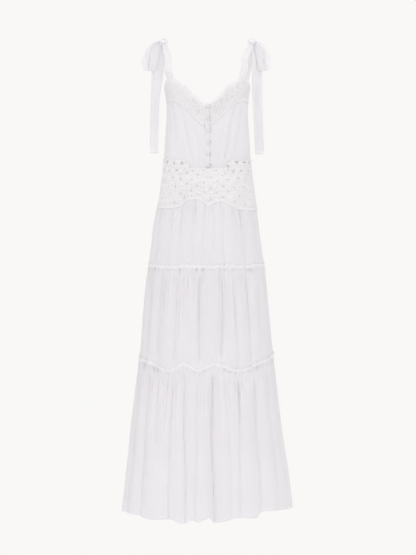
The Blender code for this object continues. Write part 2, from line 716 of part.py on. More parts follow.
def waist_holes():
    """Petals cut in the upper rows at either side, small eyelets in the lower rows."""
    for column in range(BODY_COLUMNS):
        angle = mix(-90, 90, (column + 0.5) / BODY_COLUMNS)
        petals = any(low < angle < high for low, high in PETAL_BANDS)
        for row in range(1, WAIST_ROWS):
            if (column + row) % 2:
                continue
            if petals and row >= WAIST_ROWS - 2:
                yield Hole(column, row, *PETAL, True)
            elif petals and row == WAIST_ROWS - 3:
                yield Hole(column, row, *SMALL_PETAL, True)
            elif row <= 2 and abs(angle) < FIELD_HALF_ANGLE:
                yield Hole(column, row, *EYELET, False)


def make_waist(collection):
    for face, (start, end) in ROUND.items():
        place = across_body(
            start, end, lambda angle, v: mix(waist_low(angle), waist_top(angle), v), LACE_OUT
        )
        panel(
            "waist_lace_" + face, BODY_COLUMNS, WAIST_ROWS, place, LACE, (LACE_WHITE, 0.9),
            collection, holes=waist_holes(),
        )
        name, waves = "waist_edging_" + face, EDGING_WAVES["waist"]
        edging(name, BODY_COLUMNS, (start, end), waist_low, waves, collection)


# ------------------------------------------------------------------ skirt


Make = namedtuple("Make", "rows waves")
TIER_MAKES = (Make(4, 0), Make(5, 21), Make(5, 24))


def tier_place(index, start, end):
    """place(u, v) on a tier's outer face."""

    def place_height(angle, v):
        top, low = tier_edges(index, angle)
        return mix(low, top, v)

    return across_body(
        start, end, place_height, shift=lambda angle, v: tier_shift(index, angle, 1 - v)
    )


def heading(index, face, start, end, collection):
    """The frilled heading that stands over the seam above a tier, on the facets of both tiers."""
    seam = TIERS[index].top

    def on_cloth(u, v):
        middle = mix(start, end, u)
        height = edge_height(seam, front_like(middle)) + mix(-HEADING_BELOW, HEADING_ABOVE, v)
        inset = math.degrees(SEAM_GAP / 2 / section_at(height).half_depth)
        angle = mix(start + inset, end - inset, u)
        return tier_point(index - 1 if v > 0.5 else index, angle, height)

    on_facets = between_columns(on_cloth, TIER_COLUMNS)
    waves = TIER_MAKES[index].waves

    def place(u, v):
        point = on_facets(u, v)
        angle = mix(start, end, u)
        outward = (body_point(angle, point.z, 1.0) - body_point(angle, point.z)).normalized()
        wave = ripple(waves, u, index)
        lift = HEADING_LIFT * v * math.sin(2 * math.pi * HEADING_LIFT_WAVES * u + index)
        away = LAY_GAP + FRILL + v * (HEADING_FLARE + HEADING_WAVE * wave)
        return point + outward * away + Vector((0, 0, lift))

    panel(
        "heading_%d_%s" % (index, face), 2 * TIER_COLUMNS, 1, place, FRILL, (TRIM_WHITE, 0.85),
        collection,
    )


def make_skirt(collection):
    for index, make in enumerate(TIER_MAKES):
        for face, (start, end) in ROUND.items():
            panel(
                "tier_%d_%s" % (index + 1, face), TIER_COLUMNS, make.rows,
                tier_place(index, start, end), CLOTH, (COTTON, 0.85), collection,
            )
            if index:
                heading(index, face, start, end, collection)


# ------------------------------------------------------------------ straps and bows


def ribbon(name, stops, segments, collection):
    """A ribbon through stops of (centre, across, bow): across is its whole width, bow how far its
    edges fall back behind its middle, as a vector."""
    shares = [index / (len(stops) - 1) for index in range(len(stops))]

    def at(part, v):
        vectors = [stop[part] for stop in stops]
        return Vector(
            [along_table(shares, [vector[axis] for vector in vectors], v) for axis in range(3)]
        )

    def place(u, v):
        side = u - 0.5
        return at(0, v) + at(1, v) * side + at(2, v) * (4 * side * side)

    columns = 2 if any(stop[2].length for stop in stops) else 1
    panel(name, columns, segments, place, RIBBON, (COTTON, 0.8), collection, offset=0.0)


def knot_stops(side, stops, reach=1.0, scale=1.0, facing=1):
    """Stops given from a knot as points of the model. The ends stay at the knot, and between them
    reach scales out and scale both out and down. facing is -1 for what hangs at the back."""
    sign = -1 if side == "right" else 1
    centre = Vector((KNOT_X[side], 0, KNOT_HEIGHT))
    made = []
    for index, stop in enumerate(stops):
        at_knot = index in (0, len(stops) - 1)
        out = stop.out * (1.0 if at_knot else reach * scale)
        down = stop.down * (1.0 if at_knot else scale)
        point = centre + Vector((sign * out, -facing * stop.ahead, -down))
        turn = math.radians(stop.turn)
        across = Vector((math.cos(turn) * sign, -facing * math.sin(turn), 0)) * stop.width
        made.append((point, across, Vector((0, 0, 0))))
    return made


def loop_stops(side, scale, facing):
    """A loop's stops: its ribbon lies across the loop, so its width turns out from straight ahead."""
    sign = -1 if side == "right" else 1
    made = []
    for (point, _, bow), stop in zip(knot_stops(side, LOOP, LOOP_REACH[side], scale, facing), LOOP):
        turn = math.radians(stop.turn)
        across = Vector((math.sin(turn) * sign, -facing * math.cos(turn), 0)) * stop.width
        made.append((point, across, bow))
    return made


def strap_stops(side, angle, top_height, rests):
    """A strap's stops: behind the lace, past its edge, then up to the knot."""
    sign = -1 if side == "right" else 1
    made = []
    for drop in (STRAP_IN_LACE, 0.0, -STRAP_IN_LACE):
        height = top_height - drop
        section = section_at(height)
        reach = math.degrees(rests[0].width / (section.half_width + section.half_depth))
        middle = body_point(sign * angle, height, -STRAP_CLEAR)
        one = body_point(sign * (angle + reach), height, -STRAP_CLEAR)
        other = body_point(sign * (angle - reach), height, -STRAP_CLEAR)
        if rests[-1].ahead < 0:
            one, other = other, one
        made.append((middle, one - other, (one + other) / 2 - middle))
    for index, rest in enumerate(rests, 1):
        turn = math.radians(rest.turn)
        across = Vector((math.cos(turn) * sign, math.sin(turn), 0)) * rest.width
        back = Vector((0, rest.bow if rest.ahead > 0 else -rest.bow, 0))
        out = sign * rest.out
        if side == "left":
            at_lace = STRAP_SHIFT_AT_LACE if rest.ahead > 0 else 0.0
            out += mix(at_lace, STRAP_SHIFT_AT_KNOT, index / len(rests))
        made.append((Vector((out, -rest.ahead, rest.height)), across, back))
    return made


def make_straps(collection):
    for side in KNOT_X:
        angle = FRONT_STRAP_ANGLE[side]
        front = strap_stops(side, angle, cup_top(angle), FRONT_STRAP)
        ribbon("strap_front_" + side, front, RIBBON_ROWS["strap_front"], collection)
        angle = BACK_STRAP_ANGLE[side]
        back = strap_stops(side, angle, back_top(angle), BACK_STRAP)
        ribbon("strap_back_" + side, back, RIBBON_ROWS["strap_back"], collection)


def make_bows(collection):
    for side in KNOT_X:
        bm = bmesh.new()
        bmesh.ops.create_uvsphere(bm, u_segments=12, v_segments=6, radius=1.0)
        bmesh.ops.scale(bm, vec=KNOT_HALF, verts=bm.verts)
        mesh = bpy.data.meshes.new("knot")
        bm.to_mesh(mesh)
        bm.free()
        knot = finished(mesh, "knot_" + side, (COTTON, 0.8), collection)
        knot.location = (KNOT_X[side], 0, KNOT_HEIGHT)
        for face, scale, facing in (("front", 1.0, 1), ("back", BACK_LOOP_SCALE, -1)):
            loop = loop_stops(side, scale, facing)
            ribbon("loop_%s_%s" % (face, side), loop, RIBBON_ROWS["loop"], collection)
            tail = knot_stops(side, TAILS[side][face])
            ribbon("tail_%s_%s" % (face, side), tail, RIBBON_ROWS["tail"], collection)


def main():
    for old in list(bpy.data.objects):
        bpy.data.objects.remove(old, do_unlink=True)
    collection = bpy.data.collections.new("maxi_dress")
    bpy.context.scene.collection.children.link(collection)
    make_bodice(collection)
    make_cups(collection)
    make_bust_edging(collection)
    make_placket(collection)
    make_waist(collection)
    make_skirt(collection)
    make_straps(collection)
    make_bows(collection)


main()
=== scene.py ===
"""The looks of a tiered cotton maxi dress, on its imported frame: thin gathered cloth, lace with cut
holes and raised motifs, frills, tied ribbons, ball buttons and stitches.

Metres, +Z up, the front faces -Y and +X is the wearer's left. Angles go round the body in degrees,
0 at the centre front, 90 at the wearer's left side seam, 180 at the centre back."""

import itertools
import math
from collections import namedtuple

import bpy
import numpy as np
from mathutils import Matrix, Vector


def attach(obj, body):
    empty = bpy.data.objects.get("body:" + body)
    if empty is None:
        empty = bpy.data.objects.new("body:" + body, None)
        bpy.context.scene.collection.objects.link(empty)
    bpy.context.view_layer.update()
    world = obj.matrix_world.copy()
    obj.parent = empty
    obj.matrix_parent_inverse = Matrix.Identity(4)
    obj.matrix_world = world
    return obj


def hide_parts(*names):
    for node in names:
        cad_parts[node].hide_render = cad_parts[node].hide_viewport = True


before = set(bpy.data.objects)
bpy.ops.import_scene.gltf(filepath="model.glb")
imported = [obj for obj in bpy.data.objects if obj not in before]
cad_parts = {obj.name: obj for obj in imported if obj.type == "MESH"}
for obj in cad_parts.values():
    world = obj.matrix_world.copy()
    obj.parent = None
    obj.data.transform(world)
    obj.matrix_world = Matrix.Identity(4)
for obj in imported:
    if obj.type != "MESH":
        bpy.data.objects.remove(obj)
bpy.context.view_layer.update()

# The columns of tables that hold no length. A length is written there in millimetres.
NOT_LENGTHS = {"angle", "top_angle", "low_angle", "half_angle", "top", "bottom", "turn"}


def table(kind, *rows):
    """Rows of named columns, with their lengths in metres."""
    scales = [1 if name in NOT_LENGTHS else 1000 for name in kind._fields]
    return tuple(kind(*(value / scale for value, scale in zip(row, scales))) for row in rows)


# Walls of the real cloth, thinner than the solids that stand for them
CLOTH, LACE, FRILL, RIBBON = 0.0006, 0.0008, 0.0005, 0.0009
LACE_OUT = 0.0015  # how far the lace's ground stands off the cloth's outer face
SEAM_GAP = 0.0006
LAP, LAP_CLEAR = 0.006, 0.003

# The hollow form: lean moves a section back, sway to +X
Section = namedtuple("Section", "height half_width half_depth lean sway", defaults=(0.0,))
BODY = table(
    Section,
    (-100, 133.5, 88, -6), (-139, 133.5, 97, -8), (-177, 127.5, 101, -8), (-228, 128, 98, -5),
    (-278, 131.5, 94, -1), (-329, 134.5, 93, 2), (-379, 137.5, 96, 4), (-430, 143, 104, 6),
    (-480, 150, 113, 7), (-518, 156.5, 120, 7, -1.5), (-581, 167.5, 129, 6, -3),
    (-657, 177, 137, 4, -3), (-733, 187, 144, 3, -3), (-809, 195.5, 150, 2, -3),
    (-885, 202, 156, 2, -3), (-961, 208, 162, 1, -3), (-1036, 216, 169, 1, -3),
    (-1112, 225.5, 176, 0, -3), (-1188, 235.5, 183, 0, -3), (-1264, 245, 190, 0, -1.5),
    (-1340, 255, 197, 0), (-1490, 272, 207, 0),
)
CUP_RISE = 0.013
CUP_ANGLE, CUP_HALF_ANGLE = 37.0, 25.0
CUP_HEIGHT, CUP_HALF_HEIGHT = -0.180, 0.048

# Edges that run round the body, as heights at angles from the centre front
Edge = namedtuple("Edge", "angle height")
CUP_TOP = table(
    Edge,
    (0, -203.5), (7, -191), (15, -178.5), (21, -162), (26, -148), (34, -134.5), (46, -122.5),
    (60, -119), (74, -124), (90, -139),
)
CUP_LOW = table(Edge, (0, -272), (13, -249), (29, -213), (47, -188), (65, -182), (90, -182))
BACK_TOP = table(Edge, (90, -139), (108, -164), (132, -190), (180, -207))
BACK_LACE_DEPTH = 0.041
LINING_BACK, LINING_DROP = 0.0012, 0.0065  # the cups' lining: set back, and below their top edge
WAIST_TOP = table(Edge, (0, -400), (19, -399.5), (24, -387), (30, -374.5), (47, -366), (90, -364))
WAIST_LOW = table(
    Edge,
    (-90, -513), (-42, -516.6), (-31, -511.2), (-26, -499), (-21, -493), (-14, -490.2),
    (-8, -493.4), (-4, -501), (1, -512.1), (6, -505), (12, -499), (18, -496.2), (23, -502.3),
    (30, -511.2), (36, -520), (48, -522.5), (90, -518),
)
SEAM_1 = table(Edge, (-90, -701.5), (-38, -708.6), (33, -708.7), (90, -700))
SEAM_2 = table(
    Edge,
    (-90, -992.2), (-49, -1010.2), (-32, -1026.3), (-19, -1006), (-7, -1024.6), (6, -1006),
    (27, -1025.9), (55, -1002), (90, -982),
)
HEM = table(
    Edge,
    (-90, -1470), (-55, -1466), (-40, -1474), (-24, -1469), (-16, -1480), (-10, -1469),
    (-6, -1473.5), (1, -1462), (5, -1476), (14, -1469), (20, -1464), (33, -1467), (40, -1450),
    (56, -1453), (90, -1462),
)

# Folds: soft troughs with a ridge on either side. top and bottom are shares of the piece's height.
Fold = namedtuple("Fold", "top_angle low_angle depth half_angle top bottom", defaults=(0.0, 1.0))
BODICE_FOLDS = table(
    Fold,
    (-58, -44, 2.2, 5, 0.05, 0.95), (-41, -17, 3.5, 5.5), (-22, -8, 2, 4.5, 0.25),
    (28, 11, 2, 4.5, 0.2), (42, 22, 4.5, 5), (60, 39, 3.5, 5.5), (124, 140, 3, 7),
    (150, 160, 3.5, 6.5, 0.1), (212, 202, 3, 6.5, 0.1), (238, 222, 3.5, 7),
)
TIER_1_FOLDS = table(
    Fold,
    (-64, -66, 4.5, 5.5), (-40, -43, 3, 5, 0.1, 0.8), (-28, -31, 4.5, 5, 0.05),
    (-13, -14, 4, 4.5, 0, 0.95), (-2, -4, 4, 4.5), (8, 7, 4, 4.5, 0, 0.9), (19, 18, 5, 5, 0.1),
    (41, 43, 5.5, 5.5), (64, 68, 5, 5.5, 0.05), (112, 110, 4.5, 5.5), (131, 128, 5, 5, 0, 0.95),
    (150, 149, 4.5, 5, 0.1), (168, 166, 5, 4.5), (183, 185, 4, 4.5, 0, 0.9),
    (201, 204, 5, 5, 0.05), (222, 226, 4.5, 5.5), (247, 249, 5, 5.5, 0.1),
)
TIER_2_FOLDS = table(
    Fold,
    (-66, -64, 6, 5.5, 0.1), (-47, -49, 7, 5.5), (-29, -29, 8.5, 5), (-19, -17, 4.5, 4.5, 0, 0.7),
    (-6, -7, 10, 5, 0.05), (15, 14, 11.5, 5, 0, 0.95), (27, 28, 5.5, 5, 0.2), (42, 41, 8, 6),
    (56, 58, 5, 5.5, 0.15, 0.9), (73, 74, 6.5, 5.5, 0.1), (108, 107, 6.5, 6), (127, 129, 8.5, 5.5),
    (146, 145, 6, 5, 0.1, 0.9), (162, 164, 10.5, 5), (181, 180, 8, 5, 0.05),
    (197, 199, 10, 5, 0, 0.95), (217, 215, 6.5, 5.5, 0.1), (235, 236, 8.5, 5.5),
    (253, 252, 6.5, 5.5, 0, 0.9),
)
PAST_HEM = 1.3  # the last tier's folds don't die out at the hem
TIER_3_FOLDS = tuple(
    fold._replace(bottom=PAST_HEM) if fold.bottom == 1 else fold
    for fold in table(
        Fold,
        (-72, -70, 7, 5.5, 0.1), (-55, -52, 8, 5.5), (-43, -41, 6, 5, 0, 0.6),
        (-29, -27, 10, 6, 0.05), (-18, -15, 12, 5), (-7, -8, 8, 4.5), (5, 4, 15, 5),
        (17, 16, 6, 5, 0.1), (27, 23, 10, 6.5), (44, 38, 10, 6, 0.05), (60, 57, 7, 5.5, 0.1),
        (75, 74, 7.5, 5.5), (106, 104, 8, 6), (122, 124, 10.5, 5.5), (138, 139, 7.5, 5.5, 0.05),
        (155, 153, 12.5, 5.5), (169, 171, 9, 5), (184, 183, 13.5, 5.5), (199, 201, 8.5, 5, 0.05),
        (215, 213, 12, 5.5), (232, 230, 9, 6), (250, 251, 10, 5.5),
    )
)
RIDGE_REACH = 0.5  # how wide the exponential that shapes a fold is
FOLD_FADE = 0.12  # share of a piece's height over which a fold starts or dies out
SEAM_SHARE = 0.35  # how much of a tier's folds is left where it is gathered into a seam

# Finer folds of the thin cloth
WANDER, WANDER_TURNS = 0.7, 0.9  # how far a fold strays sideways, in degrees, and its swings
WANDER_APART = 2.4  # phase from one fold to the next
BROAD_SHARE = 0.43  # of a fold's depth in its broad trough, the rest is the sharp crease in it
CREASE_SHARE, CREASE_WIDTH = 0.46, 0.16
# all round the body, from a seam: the shallowest has the share least of the depth, and the deep
# ones are the fewer the higher rare is
Gathers = namedtuple("Gathers", "seed count depth reach least rare", defaults=(0.3, 1))
TIER_GATHERS = (
    Gathers(11, 124, 0.0024, 0.130),
    Gathers(12, 140, 0.0028, 0.180),
    Gathers(13, 152, 0.0026, 0.250),
)
SEAM_PUCKERS = (Gathers(21, 120, 0.0010, 0.040), Gathers(22, 130, 0.0012, 0.050))
SEAM_DIMPLES = (
    None,
    Gathers(23, 112, 0.0078, 0.020, 0.15, 2.5),
    Gathers(24, 120, 0.0082, 0.024, 0.15, 2.5),
)
BODICE_TOP_GATHERS = Gathers(31, 96, 0.0008, 0.055)
BODICE_LOW_GATHERS = Gathers(32, 104, 0.0010, 0.075)
GATHER_START = 0.004  # below the seam, where the gathers have their full depth
GATHER_STRAY, GATHER_LEAN = 0.38, 10.0  # of their spacing, and degrees a metre
GATHER_HALVES, GATHER_REACHES = (0.26, 0.48), (0.18, 1.0)  # of their spacing, and of their reach
BILLOWS = ((3, 0.0012, 0.4), (5, 0.0009, 2.1), (8, 0.0006, 4.0))  # waves round, depth, phase
HEM_DEPTH, HEM_STEP = 0.0115, 0.0003  # the turned-up hem, and how far it stands out
HEM_EDGE, STITCH_DENT = 0.0015, 0.0010  # heights of the step over the hem and of a row's dent
TOPSTITCH = (0.0095, 0.0125)  # rows of stitches above the hem's edge

# Frills: how deep they are on either side of their seam, and what they do by their free edge
Frill = namedtuple("Frill", "below above flare wave ruffle")
HEADING = Frill(0.0042, 0.0120, -0.0003, 0.0004, 0.0002)
EDGING = Frill(0.0072, 0.0030, -0.0026, 0.0008, 0.0006)
FOOT_OUT, FRILL_CLEAR = 0.0001, 0.0006  # off the cloth at the sewn edge, and past the foot
HEADING_FOOT = 0.003  # height of the strip by which a heading is sewn down
EDGING_FOOT = 0.25  # the share of its depth by which an edging is sewn down
FLARE_SHAPE = 1.5  # a frill's flare grows slowly from its foot
HEADING_WAVES = (0, 21, 24)
EDGING_WAVES = {"cup": 9, "back": 16, "waist": 17}
DRIFT, RUFFLES_PER_WAVE = 1.3, 2.7
RUFFLE_BUNCH, RUFFLE_FADE = (2.2, 1.7), (0.35, 3.1)  # how much and how often it does either
HEADING_LIFT, HEADING_LIFT_WAVES, HEADING_LIFT_FINE = 0.0012, 5, 0.0026
LUMP_RUFFLE, LUMP_PUFF, LUMP_DOWN = 0.5, 3.0, 1.2  # shares in a heading's fine lift
EDGING_LIFT, EDGING_LIFT_PUFF = 0.0006, 0.0024
Puffs = namedtuple("Puffs", "seed count height")  # along one piece of a frill
HEADING_PUFFS = (None, Puffs(41, 44, 0.0056), Puffs(43, 52, 0.0062))
HEADING_SWAY = (None, Puffs(45, 31, 0.0040), Puffs(47, 34, 0.0040))  # of its foot, up and down
SWAY_DOWN = 0.3
EDGING_PUFFS = {
    "cup": Puffs(51, 20, 0.0024), "back": Puffs(52, 40, 0.0024), "waist": Puffs(53, 52, 0.0028)
}
PUFF_SHAPE, LIFT_SHAPE = 0.5, 2.0  # below 1 puffs are broad with narrow valleys, lifts are smooth
PUFF_WIDTHS, PUFF_HEIGHTS, PUFF_AT_END = (0.4, 1.6), (0.35, 1.0), 0.5
CALM_EVERY, CALM_SHARE = 3.2, 0.30  # puffs to each stretch of a frill, what is left in a flat one

# Lace
SCALLOP, SCALLOPS = 0.0022, 12  # depth and number of scallops round half of the body
RIM, RIM_HEIGHT = 0.0010, 0.00080  # the corded rim round a hole
LEAF_HEIGHT, LEAF_LINE, VEIN_LINE = 0.00110, 0.0010, 0.0008  # raised leaves without holes
LEAF_TAPER = 0.35  # how far a leaf's ends are drawn to points
LEAF_BODY, LEAF_RIM, LEAF_VEIN, VEIN_REACH = 0.35, 0.65, 0.5, 0.8  # shares of its height, length
NET_DENSE = 0.25  # how dense the net between the motifs is
EDGE_CORD = 0.0012
LACE_CELL = 0.00135
Lattice = namedtuple("Lattice", "columns rows")  # the motifs' places, as on the solids
CUP_LATTICE, BACK_LATTICE, WAIST_LATTICE = Lattice(12, 4), Lattice(24, 2), Lattice(24, 6)
PETAL_BAND, FIELD_ANGLE = (24, 72), 54  # degrees from the centre: leaf holes, the eyelets' end
SPRAY_LEANS, SPRAY_SIZES = (35, -20, 75, 5, -50), (0.95, 0.70)
SPRAY_LEAF, SPRAY_EYELET = (0.0050, 0.0021), (0.0015, 0.0014)  # half sizes
SPRAY_REACH, SPRAY_TURN = 0.0066, 140  # from the leaf to its eyelets
JITTER = 0.0022  # how far a motif is off its place on the lattice
LEAST_SLOPE = 0.05  # of the distance to a hole, where points are moved onto its outline
Rosette = namedtuple("Rosette", "count inner long short")  # petals from inner outwards, half sizes
SIDE_FLORET, FIELD_FLORET = Rosette(5, 0.0022, 0.0038, 0.0027), Rosette(5, 0.0024, 0.0034, 0.0025)
LOW_FLORET, CUP_FLORET = Rosette(6, 0.0026, 0.0042, 0.0026), Rosette(5, 0.0022, 0.0032, 0.0024)
FULL_FLORET, TREFOIL = Rosette(6, 0.0024, 0.0040, 0.0025), Rosette(3, 0.0012, 0.0015, 0.0013)
SIDE_EYELETS = Rosette(3, 0.0076, 0.0019, 0.0012)
FIELD_EYELETS = Rosette(3, 0.0052, 0.0010, 0.0010)

# Placket, buttons and their loops
PLACKET_HALF_ANGLE, PLACKET_GAP_ANGLE = 3.2, 0.6
PLACKET_FLAT, PLACKET_FADE = 0.5, 6.0  # degrees beside it: no folds, and where they start
PLACKET_TOP, PLACKET_STEP = -0.2065, 0.012
PLACKET_OUT, PLACKET_OUT_ON_LACE = 0.0008, 0.0022
PLACKET_SINK, PLACKET_EDGE = 0.0006, 0.16  # its edges sink, over this share of its width
BUTTON_PULL, PULL_REACH = 0.0003, 0.004  # how a button draws the placket in
PLACKET_STITCH = 0.0022  # from its edge in to its stitches
BUTTON_X = 0.0028
BUTTON_HEIGHTS = (-0.2126, -0.2476, -0.2841, -0.3210, -0.3575, -0.3930)
BUTTON_RADIUS, BUTTON_HALF_THICKNESS = 0.0044, 0.0034
LOOP_CORD, LOOP_TILT = 0.0010, 28.0  # a button loop's cord, and how far it slants up to the left
LOOP_START, LOOP_NECK = (0.0115, 0.0016), 0.0060  # its ends by the placket, its straight part
PICOT_CORD, PICOT_STEP, PICOT_REACH = 0.0003, 0.0062, 0.0030
PICOT_ROUTE = ((0.05, 0.0), (0.10, 0.8), (0.5, 1.25), (0.90, 0.8), (0.95, 0.0))  # up, out
PICOT_START, PICOT_END, PICOT_UNEVEN = 0.006, 0.004, (0.2, 2.3)  # from the placket's ends
STITCH_LENGTH, STITCH_GAP, STITCH_RADIUS, STITCH_OUT = 0.0022, 0.0008, 0.00022, 0.6
STITCH_START, STITCH_END = 0.003, 0.002  # from the placket's ends

# Knots and the ribbons that hang from them
KNOT_HEIGHT = 0.0075
KNOT_X = {"right": -0.1368, "left": 0.1413}
KNOT_HALF = (0.0142, 0.0122, 0.0098)
KNOT_BAND, KNOT_FADE, KNOT_PINCH, KNOT_CREASE = 0.92, 0.16, 0.05, 0.012
KNOT_CREASES = ((9, 1.6), (15, -2.0))  # waves across the knot and along it
# out is away from the neck, ahead is towards the front, down is below the knot's centre
Stop = namedtuple("Stop", "out ahead down width turn")
LOOP = table(
    Stop,
    (10.8, 5, 0.8, 10, 30), (24, 11, 6, 19, 46), (34.5, 15, 16, 24, 53), (46.5, 17.5, 34, 26, 58),
    (56, 18.5, 53, 26, 59), (60.8, 18.5, 68, 26, 58), (58, 18.5, 83, 26, 56),
    (50, 18.5, 94.5, 26, 54), (40, 18.5, 94.5, 26, 54), (33.5, 18.5, 80, 26, 55),
    (31, 18.5, 60, 25, 54), (29, 17.5, 39, 30, 58), (20.5, 14, 19, 22, 50), (9, 9, 7.5, 10, 25),
)
LOOP_REACH = {"right": 1.0, "left": 0.78}  # the wearer's left bow is pulled tighter
BACK_LOOP_SCALE = 0.93
TAILS = {
    ("right", "front"): table(
        Stop,
        (4, 3, 9.2, 10, 0), (10, 3.6, 35, 20, 8), (14.5, 3.6, 70, 28, 12), (18, 3.4, 110, 29, 10),
        (25, 3.4, 170, 25, 4), (29, 3.4, 260, 24, -6), (32, 3.4, 353, 25, -8),
    ),
    ("right", "back"): table(
        Stop,
        (6, -3, 9.1, 10, 0), (16, -3.6, 35, 18, 8), (25, -3.6, 70, 24, 12),
        (28, -3.6, 110, 24, 10), (30, -3.6, 170, 24, 4), (32, -3.6, 260, 23, -6),
        (33, -3.6, 342, 24, -8),
    ),
    ("left", "front"): table(
        Stop,
        (3, 3, 9.2, 10, 0), (8, 3.6, 35, 18, 6), (10.5, 3.6, 70, 23, 10), (12, 3.4, 110, 24, 8),
        (13.5, 3.4, 170, 24, 4), (18, 3.4, 260, 24, -6), (22.5, 3.4, 356, 25, -8),
    ),
    ("left", "back"): table(
        Stop,
        (6, -3, 9.1, 10, 0), (15, -3.6, 35, 17, 8), (19.5, -3.6, 70, 22, 12),
        (20.5, -3.6, 110, 24, 10), (21.5, -3.6, 170, 24, 4), (24, -3.6, 260, 23, -6),
        (26, -3.6, 345, 24, -8),
    ),
}

# Straps: out is the distance from the centre line, ahead is towards the front. The tables hold the
# right side, and the shifts say how much further out the left side is at the lace and at the knot.
Rest = namedtuple("Rest", "out ahead height width turn bow")
FRONT_STRAP = table(
    Rest,
    (122.5, 53, -90, 31, 40, 0.8), (122.5, 49, -56, 23, 24, 0.8), (129.5, 35, -26, 19, 12, 0.6),
    (134, 19, -6.5, 15, 4, 0.3), (136.5, 8.8, 1.4, 12, 0, 0),
)
BACK_STRAP = table(
    Rest,
    (112, -65, -140, 26, -38, 0.8), (121.5, -61, -95, 26, -32, 0.8),
    (127.5, -50, -55, 25, -20, 0.8), (129.5, -34, -24, 21, -10, 0.6),
    (133.5, -18.5, -6, 16, -4, 0.3), (136.5, -8.8, 1.4, 12, 0, 0),
)
STRAP_SHIFT_AT_LACE, STRAP_SHIFT_AT_KNOT = -0.0090, 0.0045
STRAP_IN_LACE = 0.015  # how far a strap runs down behind the lace
STRAP_CLEAR = 0.0001  # from the cloth's outer face in to the middle of a strap
# A ribbon's pleats by its ends, one long crease (place, swing, width, depth) and its woven edge
PLEATS, LONG_CREASE = 3.2, (0.42, 0.12, 0.06, 0.8)
SELVEDGE, SELVEDGE_WIDTH = 0.00025, 0.05
RIBBON_STRAY, SOFT_WAVES = 5, (1.3, 1.1)  # along it in radians, across and along it
# ends are the shares of the length over which the pleats fade, soft is the depth of long creases
Ribbon = namedtuple("Ribbon", "rows pleat soft ends held")
LOOP_RIBBON = Ribbon(120, 0.0004, 0.0005, (0.2, 0.2), "hung")
TAIL_RIBBON = Ribbon(110, 0.0006, 0.0006, (0.3, 0), "hung")
FRONT_RIBBON = Ribbon(70, 0.0010, 0.0006, (0, 0.35), "stretched")
BACK_RIBBON = FRONT_RIBBON._replace(rows=80)

# Columns and rows of the pieces' grids
GRIDS = {
    "bodice_front": (110, 34), "bodice_back": (200, 34), "placket": (16, 150), "lining": (40, 14),
    "heading": (560, 8), "cup": (220, 6), "back": (440, 6), "waist": (500, 6),
}
RIBBON_COLUMNS, KNOT_GRID, BUTTON_GRID = 12, (73, 49, 0.02), (33, 17, 0.01)

# The photograph's frame, in metres at the dress's middle plane
FRAME_PIXELS = (416, 555)
METRES_PER_PIXEL = 0.00316
CAMERA_DISTANCE = 4.2
VIEW_CENTRE = (0.0022, -0.7379)  # x and z
SENSOR_HEIGHT = 36.0
FLOOR_HEIGHT, FLOOR_SIZE = -1.62, 30.0
BACKGROUND = (0.947, 0.939, 0.923)
Lamp = namedtuple("Lamp", "name place aim size watts")
LAMPS = (
    Lamp("key", (-2.7, -2.8, 0.3), (0.0, 0.0, -0.7), 1.6, 16.0),
    Lamp("fill", (1.3, -4.1, 0.0), (0.0, 0.0, -0.7), 2.2, 35.0),
    Lamp("left", (-3.6, 0.6, -0.4), (0.0, 0.0, -0.7), 2.0, 6.0),
    Lamp("right", (3.6, 0.4, -0.4), (0.0, 0.0, -0.7), 2.0, 7.0),
    Lamp("top", (0.0, -1.5, 2.1), (0.0, 0.0, -0.35), 1.4, 3.5),
)


# ---------- shapes of the cloth


def smooth(share):
    """0 to 1 with level ends."""
    share = np.clip(share, 0.0, 1.0)
    return share * share * (3 - 2 * share)


def mix(start, end, share):
    return start + (end - start) * share


def bell(distance):
    return np.exp(-np.square(distance))


def along_table(places, values, at):
    """A smooth curve through values at places, which never swings past them."""
    places, values = np.array(places, float), np.array(values, float)
    at = np.clip(at, places[0], places[-1])
    steps = np.diff(places)
    rates = np.diff(values) / steps
    before, after = rates[:-1], rates[1:]
    together = before * after > 0
    inner = np.where(together, 2 * before * after / np.where(together, before + after, 1), 0)
    slopes = np.concatenate([rates[:1], inner, rates[-1:]])
    index = np.clip(np.searchsorted(places, at, side="left") - 1, 0, len(steps) - 1)
    width = steps[index]
    t = (at - places[index]) / width
    rise = width * t * (1 - t) * (slopes[index] * (1 - t) - slopes[index + 1] * t)
    return mix(values[index], values[index + 1], smooth(t)) + rise


def section_at(height):
    heights, *columns = zip(*BODY)
    down = -np.array(heights)
    return Section(height, *(along_table(down, column, -height) for column in columns))


def edge_height(rows, angle):
    return along_table(*zip(*rows), angle)


def front_like(angle):
    """The angle on the front that lies opposite an angle on the back."""
    return np.where(angle <= 90, angle, 180 - angle)


def cup_rise(angle, height):
    across = (np.abs(angle) - CUP_ANGLE) / CUP_HALF_ANGLE
    up = (height - CUP_HEIGHT) / CUP_HALF_HEIGHT
    return np.where(np.abs(angle) > 90, 0.0, CUP_RISE * bell(across) * bell(up))


def body_point(angle, height, out=0.0):
    """Points on the form at angles and heights, moved out square to its outline."""
    angle, height = np.broadcast_arrays(np.asarray(angle, float), np.asarray(height, float))
    section = section_at(height)
    sine, cosine = np.sin(np.radians(angle)), np.cos(np.radians(angle))
    across, back = sine / section.half_width, -cosine / section.half_depth
    out = (out + cup_rise(angle, height)) / np.hypot(across, back)
    x = section.sway + section.half_width * sine + out * across
    y = section.lean - section.half_depth * cosine + out * back
    return np.stack([x, y, height], axis=-1)


def fold_shape(distance):
    """-1 in the trough, 0 at a distance of 1, a ridge beyond it."""
    return -(1 - distance * distance) * np.exp(-RIDGE_REACH * distance * distance)


def away_from(angle, middle):
    return (angle - middle + 180) % 360 - 180


